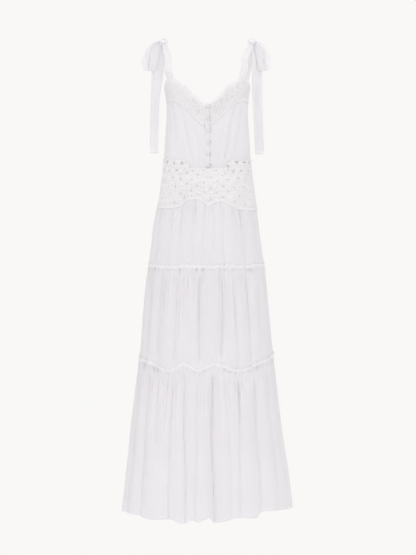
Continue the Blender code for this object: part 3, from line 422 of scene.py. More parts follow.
def folds_shift(folds, angle, share, fine=True):
    """How far a table of folds moves the cloth out. The fine form wanders and has creases."""
    total = 0.0
    for number, fold in enumerate(folds):
        middle = mix(fold.top_angle, fold.low_angle, share)
        fade = smooth((share - fold.top) / FOLD_FADE) * smooth((fold.bottom - share) / FOLD_FADE)
        if fine:
            swing = 2 * math.pi * WANDER_TURNS * share + WANDER_APART * number
            middle = middle + WANDER * np.sin(swing)
        away = away_from(angle, middle) / fold.half_angle
        shape = fold_shape(away)
        if fine:
            shape = BROAD_SHARE * shape - CREASE_SHARE * np.exp(-np.abs(away) / CREASE_WIDTH)
        total = total + fold.depth * fade * shape
    return total


def gathers_shift(gathers, angle, drop):
    """Narrow folds of uneven depth, length and spacing that run down from a seam. drop is the
    distance from it, and they start where it is above 0."""
    drop = np.maximum(drop, 0)
    rng = np.random.default_rng(gathers.seed)
    step = 360 / gathers.count
    strays = rng.uniform(-GATHER_STRAY, GATHER_STRAY, gathers.count)
    middles = (np.arange(gathers.count) + strays) * step
    depths = gathers.depth * mix(gathers.least, 1.0, rng.random(gathers.count) ** gathers.rare)
    halves = step * rng.uniform(*GATHER_HALVES, gathers.count)
    reaches = gathers.reach * rng.uniform(*GATHER_REACHES, gathers.count)
    leans = rng.normal(0.0, GATHER_LEAN, gathers.count)
    start = smooth(drop / GATHER_START)
    total = np.zeros(np.broadcast(angle, drop).shape)
    for middle, depth, half, reach, lean in zip(middles, depths, halves, reaches, leans):
        away = away_from(angle, middle + lean * drop) / half
        total += depth * start * bell(drop / reach) * fold_shape(away)
    return total


def billows(angle, share):
    total = 0.0
    for waves, depth, phase in BILLOWS:
        swing = np.sin(np.radians(angle) * waves + phase + 2 * share)
        total = total + depth * swing * np.sin(math.pi * np.clip(share, 0, 1))
    return total


Tier = namedtuple("Tier", "folds top low columns rows")
TIERS = (
    Tier(TIER_1_FOLDS, WAIST_LOW, SEAM_1, 300, 22),
    Tier(TIER_2_FOLDS, SEAM_1, SEAM_2, 320, 28),
    Tier(TIER_3_FOLDS, SEAM_2, HEM, 340, 42),
)
LAST = len(TIERS) - 1


def seam_shift(index, angle):
    """The folds left in the seam under a tier."""
    return SEAM_SHARE * folds_shift(TIERS[index].folds, angle, 1 - FOLD_FADE, fine=False)


def tier_edges(index, angle):
    """The heights of a tier's top and lower edge at an angle."""
    around = front_like(angle)
    top = edge_height(TIERS[index].top, around) + (LAP if index == 0 else -SEAM_GAP / 2)
    low = edge_height(TIERS[index].low, around)
    return top, low + (SEAM_GAP / 2 if index < LAST else 0.0)


def tier_shift(index, angle, height):
    """How far a tier's cloth moves out from the seam above to the one below."""
    top, low = tier_edges(index, angle)
    share = (top - height) / (top - low)
    own = folds_shift(TIERS[index].folds, angle, share) + billows(angle, share)
    drop = top - height - (LAP + LAP_CLEAR if index == 0 else 0.0)
    own = own + gathers_shift(TIER_GATHERS[index], angle, drop)
    if index < LAST:
        own = own + gathers_shift(SEAM_PUCKERS[index], angle, height - low)
    start = smooth(share / FOLD_FADE)
    if index:
        own = mix(seam_shift(index - 1, angle), own, start)
        own = own + gathers_shift(SEAM_DIMPLES[index], angle, drop)
    else:
        own = own * start
    if index < LAST:
        own = mix(own, seam_shift(index, angle), smooth((share - 1 + FOLD_FADE) / FOLD_FADE))
    return own


# ---------- materials


def feed(tree, node, inputs):
    """Sets a node's inputs, by name or number, to values or links them to outputs."""
    for name, value in inputs.items():
        if isinstance(value, bpy.types.NodeSocket):
            tree.links.new(value, node.inputs[name])
        else:
            node.inputs[name].default_value = value


def add_node(tree, kind, inputs=None, **settings):
    made = tree.nodes.new("ShaderNode" + kind)
    for name, value in settings.items():
        setattr(made, name, value)
    feed(tree, made, inputs or {})
    return made


def new_material(name):
    made = bpy.data.materials.new(name)
    made.use_nodes = True
    tree = made.node_tree
    return made, tree, tree.nodes["Principled BSDF"], tree.nodes["Material Output"]


def add_tint(tree, colour, darkest, factor):
    """A ramp from a darker shade of a colour to the colour itself."""
    made = add_node(tree, "ValToRGB", {"Fac": factor})
    made.color_ramp.elements[0].color = [darkest * c for c in colour] + [1.0]
    made.color_ramp.elements[1].color = [*colour, 1.0]
    return made


def cloth_material(
    name, colour, see_through, crinkle=0.30, thread=0.00045, relief=0.35, roughness=0.85,
    sheer_painted_shade=None,
):
    """Plain-woven cloth: two crossed sets of threads, uneven and faintly crinkled, that lets some
    light through. The UV map is in metres, and thread is the distance between threads. Where its
    "dense" attribute is 0, between the motifs, lace is darkened by sheer_painted_shade: painted
    shade for the dress's shadowed inside seen through the sheer net."""
    made, tree, shader, output = new_material(name)
    flat = add_node(tree, "UVMap").outputs["UV"]
    wave = {"Vector": flat, "Scale": 0.05 / thread, "Distortion": 0.6, "Detail": 1.0}
    threads = [
        add_node(tree, "TexWave", wave, bands_direction=direction).outputs["Fac"]
        for direction in ("X", "Y")
    ]
    weave = add_node(tree, "Math", dict(enumerate(threads)), operation="MULTIPLY").outputs[0]
    place = add_node(tree, "TexCoord").outputs["Object"]
    creases, cloud = (
        add_node(
            tree, "TexNoise",
            {"Vector": place, "Scale": scale, "Detail": detail, "Roughness": rough},
        ).outputs["Fac"]
        for scale, detail, rough in ((70.0, 4.0, 0.6), (9.0, 3.0, 0.5))
    )

    tint = add_tint(tree, colour, 0.975, cloud)
    tint.color_ramp.elements[0].position, tint.color_ramp.elements[1].position = 0.3, 0.7
    shown = tint.outputs["Color"]
    # painted shade: the sheer net between the motifs is darkened for the shadowed inside seen
    # through it
    if sheer_painted_shade:
        dense = add_node(tree, "Attribute", attribute_name="dense").outputs["Fac"]
        shade = add_node(tree, "MapRange", {"Value": dense, "To Min": sheer_painted_shade})
        shade = {0: shown, "Scale": shade.outputs["Result"]}
        shown = add_node(tree, "VectorMath", operation="SCALE")
        feed(tree, shown, shade)
        shown = shown.outputs["Vector"]

    soft = add_node(tree, "Bump", {"Strength": crinkle, "Distance": 0.0008, "Height": creases})
    woven = add_node(tree, "Bump", {
        "Strength": relief, "Distance": thread / 3, "Height": weave,
        "Normal": soft.outputs["Normal"],
    })
    feed(tree, shader, {
        "Base Color": shown, "Normal": woven.outputs["Normal"], "Roughness": roughness,
        "Sheen Weight": 0.15, "Sheen Roughness": 0.5, "Specular IOR Level": 0.3,
    })
    through = add_node(tree, "BsdfTranslucent", {"Color": shown})
    both = add_node(tree, "MixShader", {
        "Fac": see_through, 1: shader.outputs["BSDF"], 2: through.outputs["BSDF"]
    })
    feed(tree, output, {"Surface": both.outputs["Shader"]})
    return made


def pearl_material(name, colour):
    """A small ball button: off-white, softly glossy, faintly banded."""
    made, tree, shader, _ = new_material(name)
    place = add_node(tree, "TexCoord").outputs["Object"]
    bands = add_node(tree, "TexNoise", {"Vector": place, "Scale": 220.0, "Detail": 2.0})
    tint = add_tint(tree, colour, 0.86, bands.outputs["Fac"])
    feed(tree, shader, {
        "Base Color": tint.outputs["Color"], "Roughness": 0.28, "Coat Weight": 0.4,
        "Coat Roughness": 0.15,
    })
    return made


COTTON = cloth_material("cotton_voile", (0.886, 0.871, 0.898), 0.33, crinkle=0.35)
# the lace's sheer net between its motifs gets painted shade, for the shadowed inside seen through it
LACE_COTTON = cloth_material(
    "lace_cotton", (0.966, 0.953, 0.966), 0.40, crinkle=0.12, thread=0.0011, relief=0.60,
    roughness=0.9, sheer_painted_shade=0.94,
)
LINING_COTTON = cloth_material("lining_cotton", (0.925, 0.912, 0.932), 0.20)
TRIM_COTTON = cloth_material("trim_cotton", (0.895, 0.880, 0.906), 0.22)
PLACKET_COTTON = cloth_material("placket_cotton", (0.888, 0.873, 0.900), 0.27)
RIBBON_COTTON = cloth_material("ribbon_cotton", (0.934, 0.929, 0.941), 0.60, crinkle=0.25)
THREAD = cloth_material(
    "sewing_thread", (0.88, 0.87, 0.89), 0.0, crinkle=0.0, thread=0.0004, relief=0.2
)
PEARL = pearl_material("pearl", (0.75, 0.73, 0.75))


# ---------- making pieces


def grid_quads(rows, columns):
    """The corner numbers of each cell of a grid of points."""
    start = np.arange(rows - 1)[:, None] * columns + np.arange(columns - 1)[None]
    quads = np.stack([start, start + 1, start + columns + 1, start + columns], axis=-1)
    return quads.reshape(-1, 4)


def add_object(name, data):
    made = bpy.data.objects.new(name, data)
    bpy.context.scene.collection.objects.link(made)
    return made


def add_trim(name, data, material):
    """Sewing that stands for no solid."""
    data.materials.append(material)
    made = add_object(name, data)
    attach(made, "root")


def piece(
    name, points, quads, flat, material, node, thickness=None, offset=-1.0, dense=None
):
    """A shown piece of the dress, with its UV map in metres, that stands for a node. dense holds
    how dense lace is at its points."""
    used, quads = np.unique(quads, return_inverse=True)
    quads = quads.reshape(-1, 4)
    points, flat = points.reshape(-1, 3)[used], flat.reshape(-1, 2)[used]
    mesh = bpy.data.meshes.new(name)
    mesh.from_pydata(points.tolist(), [], quads.tolist())
    uvs = mesh.uv_layers.new(name="metres")
    uvs.uv.foreach_set("vector", flat[quads.ravel()].ravel())
    if dense is not None:
        held = mesh.attributes.new("dense", "FLOAT", "POINT")
        held.data.foreach_set("value", dense.ravel()[used])
    mesh.shade_smooth()
    mesh.materials.append(material)
    made = add_object(name, mesh)
    if thickness:
        wall = made.modifiers.new("Wall", "SOLIDIFY")
        wall.thickness, wall.offset = thickness, offset
    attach(made, "root")
    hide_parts(node)
    return made


def closed_piece(name, points, material, node):
    """A closed piece from a grid whose ends and sides meet."""
    points[:, -1] = points[:, 0]
    points[0], points[-1] = points[0].mean(0), points[-1].mean(0)
    quads = grid_quads(*points.shape[:2])
    made = piece(name, points, quads, flat_places(points), material, node)
    made.modifiers.new("Weld", "WELD").merge_threshold = 0.00001


def ball_angles(columns, rows, tip):
    """Turns round a ball and rises over it, which leave out its tips."""
    return np.meshgrid(np.linspace(0, 2 * math.pi, columns), np.linspace(tip, math.pi - tip, rows))


def steps(points, axis):
    return np.linalg.norm(np.diff(points, axis=axis), axis=-1)


def distances(points):
    """How far along a line each of its points lies."""
    return np.concatenate([[0], np.cumsum(steps(points, 0))])


def flat_places(points):
    """Each point's place on the flat cloth, in metres, from the distances along the grid."""
    u = np.pad(np.cumsum(steps(points, 1), axis=1), ((0, 0), (1, 0)))
    v = np.pad(np.cumsum(steps(points, 0), axis=0), ((1, 0), (0, 0)))
    return np.stack([u, v], axis=-1)


def declare_sheet(points):
    """Sums the cloth's lengths across and up its grid, and does nothing with them."""
    across, up = (steps(points, axis).sum(axis=axis) for axis in (1, 0))


def cloth(
    name, columns, rows, place, thickness, material, slot, held, shaped=True, offset=-1.0
):
    """A sheet of cloth that stands for the node of its own name. place(u, v) gives its outer face,
    u to the wearer's left across the front, v up."""
    points = place(*np.meshgrid(np.linspace(0, 1, columns + 1), np.linspace(0, 1, rows + 1)))
    quads = grid_quads(rows + 1, columns + 1)
    flat = flat_places(points)
    made = piece(name + "_cloth", points, quads, flat, material, name, thickness, offset)
    declare_sheet(points)


def seam_inset(height):
    """Half a seam's gap, as an angle."""
    return np.degrees(SEAM_GAP / 2 / section_at(height).half_depth)


def off_seams(start, end, u, height):
    """Angles from start to end that keep half a seam's gap at either side."""
    inset = seam_inset(height)
    return mix(start + inset, end - inset, u)


def between(start, end, place_height, shift):
    """place(u, v) for cloth between two angles. place_height(angle, v) gives each point's height
    and shift(angle, height) how far its folds move it out."""

    def place(u, v):
        height = place_height(mix(start, end, u), v)
        angle = off_seams(start, end, u, height)
        return body_point(angle, height, shift(angle, height))

    return place


HALVES = {"right": (-90.0, 0.0), "left": (0.0, 90.0)}
ROUND = {"front": (-90.0, 90.0), "back": (90.0, 270.0)}


def cup_top(angle):
    return edge_height(CUP_TOP, np.abs(angle))


def cup_low(angle):
    return edge_height(CUP_LOW, np.abs(angle))


def back_top(angle):
    return edge_height(BACK_TOP, np.where(angle <= 180, angle, 360 - angle))


def back_low(angle):
    return back_top(angle) - BACK_LACE_DEPTH


def waist_top(angle):
    return edge_height(WAIST_TOP, np.abs(front_like(angle)))


def waist_low(angle):
    return edge_height(WAIST_LOW, front_like(angle))


# ---------- skirt


HEM_ROWS, HEM_SHARE = 12, 0.036  # the rows in the hem, and its share of the tier's height
ROWS_BY_SEAM = 0.62  # 1 crowds the rows most by the seams


def hem_shift(angle, height):
    """The turned-up hem stands out a little, and its two rows of stitches draw it in."""
    above = height - edge_height(HEM, front_like(angle))
    out = HEM_STEP * smooth((HEM_DEPTH + HEM_EDGE - above) / HEM_EDGE)
    for row in TOPSTITCH:
        out = out - HEM_STEP * bell((above - row) / STITCH_DENT)
    return out


def tier_rows(index, rows):
    """Shares of a tier's height for its rows, closer together by its seams and by the hem."""
    hem_rows, hem_share = (HEM_ROWS, HEM_SHARE) if index == LAST else (0, 0.0)
    share = np.linspace(0, 1, rows + 1 - hem_rows)
    upper = mix(hem_share, 1, mix(share, smooth(share), ROWS_BY_SEAM))
    return np.concatenate([np.linspace(0, hem_share, hem_rows, endpoint=False), upper])


def make_skirt():
    for index, tier in enumerate(TIERS):
        uneven = tier_rows(index, tier.rows)

        def place_height(angle, v):
            top, low = tier_edges(index, angle)
            return mix(low, top, np.interp(v, np.linspace(0, 1, tier.rows + 1), uneven))

        def shift(angle, height):
            moved = tier_shift(index, angle, height)
            return moved + (hem_shift(angle, height) if index == LAST else 0.0)

        for face, (start, end) in ROUND.items():
            cloth(
                "tier_%d_%s" % (index + 1, face), tier.columns, tier.rows,
                between(start, end, place_height, shift), CLOTH, COTTON, "cotton", "gathered",
                shaped=False,
            )


# ---------- frills


def ripple(waves, u, start=0.0):
    """A frill's waves along its length, 0 to 1, unevenly spaced."""
    drift = DRIFT * np.sin(waves * u / 2 + start)
    return 0.5 + 0.5 * np.sin(2 * math.pi * waves * u + drift)


def ruffle(waves, u, start=0.0):
    """Smaller waves on a frill, -1 to 1, that bunch up and fade."""
    fine = 2 * math.pi * waves * RUFFLES_PER_WAVE * u
    bunch = RUFFLE_BUNCH[0] * np.sin(RUFFLE_BUNCH[1] * waves * u + start)
    fade = RUFFLE_FADE[0] * (1 - np.sin(RUFFLE_FADE[1] * waves * u + 2 * start))
    return np.sin(fine + bunch) * (1 - fade)


def puffs(made, seed, u, shape=PUFF_SHAPE):
    """Puffs of uneven width and height along a frill, 0 to 1 of their full height. A piece ends
    half way through one."""
    rng = np.random.default_rng([made.seed, seed])
    widths = rng.uniform(*PUFF_WIDTHS, made.count)
    ends = np.concatenate([[0], np.cumsum(widths)])
    heights = rng.uniform(*PUFF_HEIGHTS, made.count) * np.minimum(widths, 1)
    heights[[0, -1]] = PUFF_AT_END
    at = mix(ends[1] / 2, (ends[-2] + ends[-1]) / 2, u)
    index = np.clip(np.searchsorted(ends, at, side="right") - 1, 0, made.count - 1)
    share = (at - ends[index]) / (ends[index + 1] - ends[index])
    stretches = np.arange(0, made.count + CALM_EVERY, CALM_EVERY)
    calm = np.interp(at, stretches, rng.uniform(CALM_SHARE, 1.0, len(stretches)))
    return calm * heights[index] * np.power(np.sin(math.pi * np.clip(share, 0, 1)), shape)


def frill_out(frill, puffed, seed, u, free, wave, fine, sewn):
    """How far a frill stands off the cloth. free is 0 at its foot and 1 at its free edge, and sewn
    is 0 where it is held down."""
    flare = frill.flare + frill.wave * wave + frill.ruffle * (1 + fine)
    swell = puffed.height * puffs(puffed, seed, u) * np.sin(math.pi * free)
    return mix(FOOT_OUT, FRILL_CLEAR, sewn) + np.power(free, FLARE_SHAPE) * flare + swell


def heading(index, face, start, end):
    """The frilled heading that stands over the seam above a tier."""
    waves, puffed, swayed = HEADING_WAVES[index], HEADING_PUFFS[index], HEADING_SWAY[index]
    seed = list(ROUND).index(face)

    def place(u, v):
        above = mix(-HEADING.below, HEADING.above, v)
        free = np.clip(above / HEADING.above, 0, 1)
        wave, fine = ripple(waves, u, index), ruffle(waves, u, index)
        rise = np.sin(2 * math.pi * HEADING_LIFT_WAVES * u + index)
        lumps = LUMP_RUFFLE * fine + LUMP_PUFF * puffs(puffed, seed, u, LIFT_SHAPE) - LUMP_DOWN
        lift = free * (HEADING_LIFT * rise + HEADING_LIFT_FINE * lumps)
        lift = lift + swayed.height * (puffs(swayed, seed, u, LIFT_SHAPE) - SWAY_DOWN)
        height = edge_height(TIERS[index].top, front_like(mix(start, end, u))) + above + lift
        angle = off_seams(start, end, u, height)
        upper, lower = (tier_shift(tier, angle, height) for tier in (index - 1, index))
        sewn = smooth((above + HEADING.below) / HEADING_FOOT)
        out = frill_out(HEADING, puffed, seed, u, free, wave, fine, sewn)
        return body_point(angle, height, np.where(above > 0, upper, lower) + out)

    cloth(
        "heading_%d_%s" % (index, face), *GRIDS["heading"], place, FRILL, TRIM_COTTON, "trim",
        "gathered", shaped=False,
    )


def make_headings():
    for index in range(1, len(TIERS)):
        for face, (start, end) in ROUND.items():
            heading(index, face, start, end)


def edging(name, kind, angles, edge, seed=0):
    """A narrow frill that hangs from a lace edge."""
    waves, puffed = EDGING_WAVES[kind], EDGING_PUFFS[kind]

    def place(u, v):
        angle = mix(*angles, u)
        height = edge(angle) + mix(-EDGING.below, EDGING.above, v)
        free, sewn = 1 - v, smooth((1 - v) / EDGING_FOOT)
        wave, fine = ripple(waves, u), ruffle(waves, u, 1.0)
        out = frill_out(EDGING, puffed, seed, u, free, wave, fine, sewn)
        lumps = puffs(puffed, seed, u, LIFT_SHAPE)
        points = body_point(angle, height, LACE_OUT + out)
        points[..., 2] += free * (EDGING_LIFT * fine - EDGING_LIFT_PUFF * lumps)
        return points

    cloth(name, *GRIDS[kind], place, FRILL, TRIM_COTTON, "trim", "gathered", shaped=False)


def make_edgings():
    gap = PLACKET_HALF_ANGLE + PLACKET_GAP_ANGLE
    edging("cup_edging_right", "cup", (-90, -gap), cup_low)
    edging("cup_edging_left", "cup", (gap, 90), cup_low, 1)
    edging("back_edging", "back", (90, 270), back_low)
    for seed, (face, angles) in enumerate(ROUND.items()):
        edging("waist_edging_" + face, "waist", angles, waist_low, seed)


# ---------- bodice


def bodice_shift(top, low):
    """Bodice folds and gathers, drawn flat where lace holds the cloth and by the placket."""

    def shift(angle, height):
        drop, rise = top(angle) - LAP_CLEAR - height, height - low(angle) - LAP_CLEAR
        share = np.clip(drop / (drop + rise), 0, 1)
        held = smooth(share / FOLD_FADE) * smooth((1 - share) / FOLD_FADE)
        own = held * folds_shift(BODICE_FOLDS, angle, share)
        own = own + gathers_shift(BODICE_TOP_GATHERS, angle, drop)
        own = own + gathers_shift(BODICE_LOW_GATHERS, angle, rise)
        aside = np.abs(away_from(angle, 0)) - PLACKET_HALF_ANGLE - PLACKET_FLAT
        return own * smooth(aside / PLACKET_FADE)

    return shift


def make_bodice():
    parts = [("bodice_front", "_" + side, angles, cup_low) for side, angles in HALVES.items()]
    parts.append(("bodice_back", "", ROUND["back"], back_low))
    for kind, side, (start, end), top in parts:

        def place_height(angle, v):
            return mix(waist_top(angle) - LAP, top(angle) + LAP, v)

        place = between(start, end, place_height, bodice_shift(top, waist_top))
        cloth(kind + side, *GRIDS[kind], place, CLOTH, COTTON, "cotton", "gathered")


def placket_out(height):
    """The placket's outer face: on the cups' lace above, on the bodice below."""
    on_lace = smooth((height - cup_low(0.0) + PLACKET_STEP) / PLACKET_STEP)
    return PLACKET_OUT + on_lace * PLACKET_OUT_ON_LACE


def make_placket():
    low = waist_top(0.0) + SEAM_GAP

    def place(u, v):
        height = mix(low, PLACKET_TOP, v)
        angle = mix(-PLACKET_HALF_ANGLE, PLACKET_HALF_ANGLE, u)
        sunk = PLACKET_SINK * smooth(1 - (0.5 - np.abs(u - 0.5)) / PLACKET_EDGE)
        pulls = sum(bell((height - button) / PULL_REACH) for button in BUTTON_HEIGHTS)
        return body_point(angle, height, placket_out(height) - sunk - BUTTON_PULL * pulls)

    cloth("placket", *GRIDS["placket"], place, FRILL, PLACKET_COTTON, "trim", "laid")


# ---------- lace


Petal = namedtuple("Petal", "x y long short turn")  # half sizes in metres, turn in degrees


def eyelet(x, y, radius):
    return Petal(x, y, radius, radius, 0)


def rosette(x, y, kind, turn):
    """Petals that radiate from a centre."""
    made = []
    for number in range(kind.count):
        degrees = turn + 360 * number / kind.count
        along, reach = math.radians(degrees), kind.inner + kind.long
        place = (x + reach * math.cos(along), y + reach * math.sin(along))
        made.append(Petal(*place, kind.long, kind.short, degrees))
    return made


def spray(x, y, lean, scale):
    """A leaf hole with a small eyelet on either side of its foot."""
    made = [Petal(x, y, *(half * scale for half in SPRAY_LEAF), lean)]
    for turn in (SPRAY_TURN, -SPRAY_TURN):
        to, reach = math.radians(lean + turn), SPRAY_REACH * scale
        place = (x + reach * math.cos(to), y + reach * math.sin(to))
        made.append(Petal(*place, *SPRAY_EYELET, lean + turn * 0.8))
    return made


def from_petal(petal, x, y):
    """Distances from a petal's centre along it and across it."""
    sine, cosine = math.sin(math.radians(petal.turn)), math.cos(math.radians(petal.turn))
    x, y = x - petal.x, y - petal.y
    return x * cosine + y * sine, y * cosine - x * sine


def nearest_edge(petals, x, y):
    """The distance to the nearest petal's outline, roughly, and negative inside it."""
    nearest = np.full(x.shape, 1.0)
    for petal in petals:
        along, aside = from_petal(petal, x, y)
        # a leaf: an oval whose ends are drawn to points
        taper = 1 + LEAF_TAPER * np.square(along / petal.long)
        reach = np.hypot(along / petal.long, taper * aside / petal.short)
        nearest = np.minimum(nearest, (reach - 1) * petal.short)
    return nearest


def veins(leaves, x, y):
    """Raised middle lines of leaves."""
    total = np.zeros(x.shape)
    for leaf in leaves:
        along, aside = from_petal(leaf, x, y)
        inside = np.abs(along) < VEIN_REACH * leaf.long
        total = np.maximum(total, inside * bell(aside / VEIN_LINE))
    return total


def lace_relief(holes, leaves, x, y, to_edge):
    """How far the lace's motifs stand out, and how dense it is from 0 to 1: corded rims, leaves
    with veins, and a corded free edge."""
    rim, leaf = nearest_edge(holes, x, y), nearest_edge(leaves, x, y)
    corded = np.maximum(bell((rim - RIM) / RIM), bell((to_edge - EDGE_CORD) / EDGE_CORD))
    inside = smooth(0.5 - leaf / LEAF_LINE)
    raised = (LEAF_BODY + LEAF_VEIN * veins(leaves, x, y)) * inside
    raised = np.clip(raised + LEAF_RIM * bell(leaf / LEAF_LINE), 0, 1)
    relief = np.maximum(RIM_HEIGHT * corded, LEAF_HEIGHT * raised)
    return relief, np.maximum(corded, mix(NET_DENSE, 1, raised))


def corner_sum(grid):
    """The sum of the four corners of each cell of a grid."""
    return grid[:-1, :-1] + grid[1:, 1:] + grid[:-1, 1:] + grid[1:, :-1]


def fit_to_holes(holes, kept, x, y):
    """Moves the points round each hole onto its outline. kept says which cells stay."""
    around = corner_sum(np.pad(kept.astype(int), 1))
    border = (around > 0) & (around < 4)
    border[[0, -1]] = False
    border[:, [0, -1]] = False
    step, limit = LACE_CELL / 8, 0.4 * LACE_CELL
    for _ in range(2):
        away = nearest_edge(holes, x, y)
        slopes = [
            (nearest_edge(holes, x + a, y + b) - nearest_edge(holes, x - a, y - b)) / (2 * step)
            for a, b in ((step, 0), (0, step))
        ]
        steep = np.maximum(slopes[0] ** 2 + slopes[1] ** 2, LEAST_SLOPE)
        x, y = (
            place - border * np.clip(away * slope / steep, -limit, limit)
            for place, slope in zip((x, y), slopes)
        )
    return x, y


def lace(name, start, end, low, top, pattern, scalloped, middle_height):
    """Lace between two edges, with its holes cut through. On the flat lace x is the distance from
    centre front or centre back and y is a height. pattern(cell) gives holes and leaves, and
    cell(column, row, columns, rows) the middle of a cell of its lattice, as x and y."""
    angles = np.linspace(start, end, 361)
    along = distances(body_point(angles, middle_height))
    centre = np.interp(0.0 if start < 90 else 180.0, angles, along)
    columns = int(round(along[-1] / LACE_CELL))
    rows = int(round(float(np.max(top(angles) - low(angles))) / LACE_CELL))

    def cell(column, row, of_columns, of_rows):
        angle = mix(start, end, (column + 0.5) / of_columns)
        height = mix(low(angle), top(angle), (row + 0.5) / of_rows)
        return float(np.interp(angle, angles, along) - centre), float(height)

    def edges_at(x):
        angle = np.interp(x + centre, along, angles)
        wave = SCALLOP * np.cos(np.radians(away_from(angle, 0)) * 2 * SCALLOPS)
        return low(angle), top(angle) + (wave if scalloped else 0.0)

    holes, leaves = pattern(cell)
    x, v = np.meshgrid(np.linspace(0, along[-1], columns + 1), np.linspace(0, 1, rows + 1))
    x = x - centre
    y = mix(*edges_at(x), v)
    kept = nearest_edge(holes, corner_sum(x) / 4, corner_sum(y) / 4) > 0
    kept[[0, 1, -2, -1]] = True
    kept[:, [0, -1]] = True
    x, y = fit_to_holes(holes, kept, x, y)

    low_edge, top_edge = edges_at(x)
    relief, dense = lace_relief(holes, leaves, x, y, np.minimum(top_edge - y, y - low_edge))
    inset = seam_inset(y)
    angle = np.clip(np.interp(x + centre, along, angles), start + inset, end - inset)
    made = piece(
        name + "_cloth", body_point(angle, y, LACE_OUT + relief),
        grid_quads(rows + 1, columns + 1)[kept.ravel()], np.stack([x, y], axis=-1), LACE_COTTON,
        name, LACE, dense=dense,
    )
    declare_sheet(body_point(angle, y, LACE_OUT))


def cells_of(lattice):
    return itertools.product(range(lattice.columns), range(lattice.rows))


def waist_pattern(cell):
    """Leaf holes among florets at either side, long leaves across the middle, and a field of round
    eyelets above the waved lower edge. The halves mirror each other."""
    holes, leaves = [], []
    for column, row in cells_of(WAIST_LATTICE):
        side = 1 if column >= WAIST_LATTICE.columns / 2 else -1
        step = column if side > 0 else WAIST_LATTICE.columns - 1 - column
        degrees = abs(mix(-90, 90, (column + 0.5) / WAIST_LATTICE.columns))
        cut = (column + row) % 2 == 0
        from_top = WAIST_LATTICE.rows - 1 - row
        turn = 47 * step + 31 * row
        shaken = math.radians(97 * step + 61 * row)
        x, y = cell(column, row, *WAIST_LATTICE)
        x, y = x + side * JITTER * math.cos(shaken), y + JITTER * math.sin(shaken)
        if PETAL_BAND[0] < degrees < PETAL_BAND[1] and from_top <= 2:
            if not cut:
                leaves += rosette(x, y, SIDE_FLORET, turn)
                if from_top < 2:
                    holes += rosette(x, y, SIDE_EYELETS, turn + 90)
            elif from_top == 2:
                holes += rosette(x, y, TREFOIL, turn)
            else:
                lean = 90 + side * SPRAY_LEANS[(step + 2 * row) % len(SPRAY_LEANS)]
                holes += spray(x, y, lean, SPRAY_SIZES[from_top])
        elif row <= 2 and degrees < FIELD_ANGLE:
            if cut:
                holes += [eyelet(x, y, 0.0018), *rosette(x, y, FIELD_EYELETS, turn)]
            else:
                leaves += rosette(x, y, FIELD_FLORET, turn)
                holes.append(eyelet(x, y, 0.0013))
        elif row >= 2 and degrees < PETAL_BAND[1]:
            tilt = side * (13 if row % 2 else -13)
            leaves.append(Petal(x - 0.0030 * side, y + 0.0042, 0.0165, 0.0036, tilt))
            leaves.append(Petal(x + 0.0045 * side, y - 0.0050, 0.0150, 0.0034, -tilt))
            if cut:
                holes.append(Petal(x + 0.0010 * side, y, 0.0030, 0.0011, tilt))
        else:
            leaves += rosette(x, y, LOW_FLORET, turn)
            if cut:
                holes.append(eyelet(x, y, 0.0014))
    return holes, leaves


def cup_pattern(side):
    """Eyelets by the V, florets and leaf sprays towards the strap."""

    def pattern(cell):
        holes, leaves = [], []
        sign = unit(side)
        for step, row in cells_of(CUP_LATTICE):
            column = step if side == "left" else CUP_LATTICE.columns - 1 - step
            x, y = cell(column, row, *CUP_LATTICE)
            if 1 <= step < CUP_LATTICE.columns // 2 and 1 <= row < CUP_LATTICE.rows - 1:
                if (step + row) % 2 == 0:
                    size = 1.0 if step < 4 else 0.6
                    holes.append(Petal(x, y, 0.0042 * size, 0.0018 * size, 90 - sign * 50))
                else:
                    leaves += rosette(x, y, CUP_FLORET, 20 * step)
                    holes.append(eyelet(x, y, 0.0015))
            elif (step + row) % 2:
                leaves += rosette(x, y, FULL_FLORET, 12 * step)
            else:
                leaves.append(Petal(x, y + 0.0030, 0.0080, 0.0030, sign * 40))
                leaves.append(Petal(x + 0.0030 * sign, y - 0.0040, 0.0074, 0.0027, sign * 8))
        return holes, leaves

    return pattern


def back_pattern(cell):
    """Florets with an eyelet in each, and eyelets between them."""
    holes, leaves = [], []
    for column, row in cells_of(BACK_LATTICE):
        x, y = cell(column, row, *BACK_LATTICE)
        if (column + row) % 2:
            leaves += rosette(x, y, FULL_FLORET, 12 * column)
            holes.append(eyelet(x, y, 0.0018))
        else:
            holes += [Petal(x, y + lift, 0.0019, 0.0017, 0) for lift in (-0.0048, 0.0048)]
    return holes, leaves


def make_lining():
    """The plain lining behind the cups' lace."""

    def place_height(angle, v):
        return mix(cup_low(angle) + LAP + SEAM_GAP, cup_top(angle) - LINING_DROP, v)

    def shift(angle, height):
        low, top = place_height(angle, 0), place_height(angle, 1)
        return -LINING_BACK * smooth(2 * (height - low) / (top - low))

    for side, (start, end) in HALVES.items():
        place = between(start, end, place_height, shift)
        name = "cup_lining_" + side
        cloth(name, *GRIDS["lining"], place, CLOTH, LINING_COTTON, "cotton", "stretched")


def make_lace():
    make_lining()
    for side, (start, end) in HALVES.items():
        lace("cup_" + side, start, end, cup_low, cup_top, cup_pattern(side), True, -0.185)
    lace("back_lace", 90, 270, back_low, back_top, back_pattern, True, -0.200)
    for face, (start, end) in ROUND.items():
        lace("waist_lace_" + face, start, end, waist_low, waist_top, waist_pattern, False, -0.440)


# ---------- ribbons, knots and bows


def along_stops(stops, v):
    """Centres, widths across and bows of a ribbon at shares of its length."""
    shares = np.linspace(0, 1, len(stops))
    return [
        np.stack([along_table(shares, values, v) for values in zip(*column)], axis=-1)
        for column in zip(*stops)
    ]


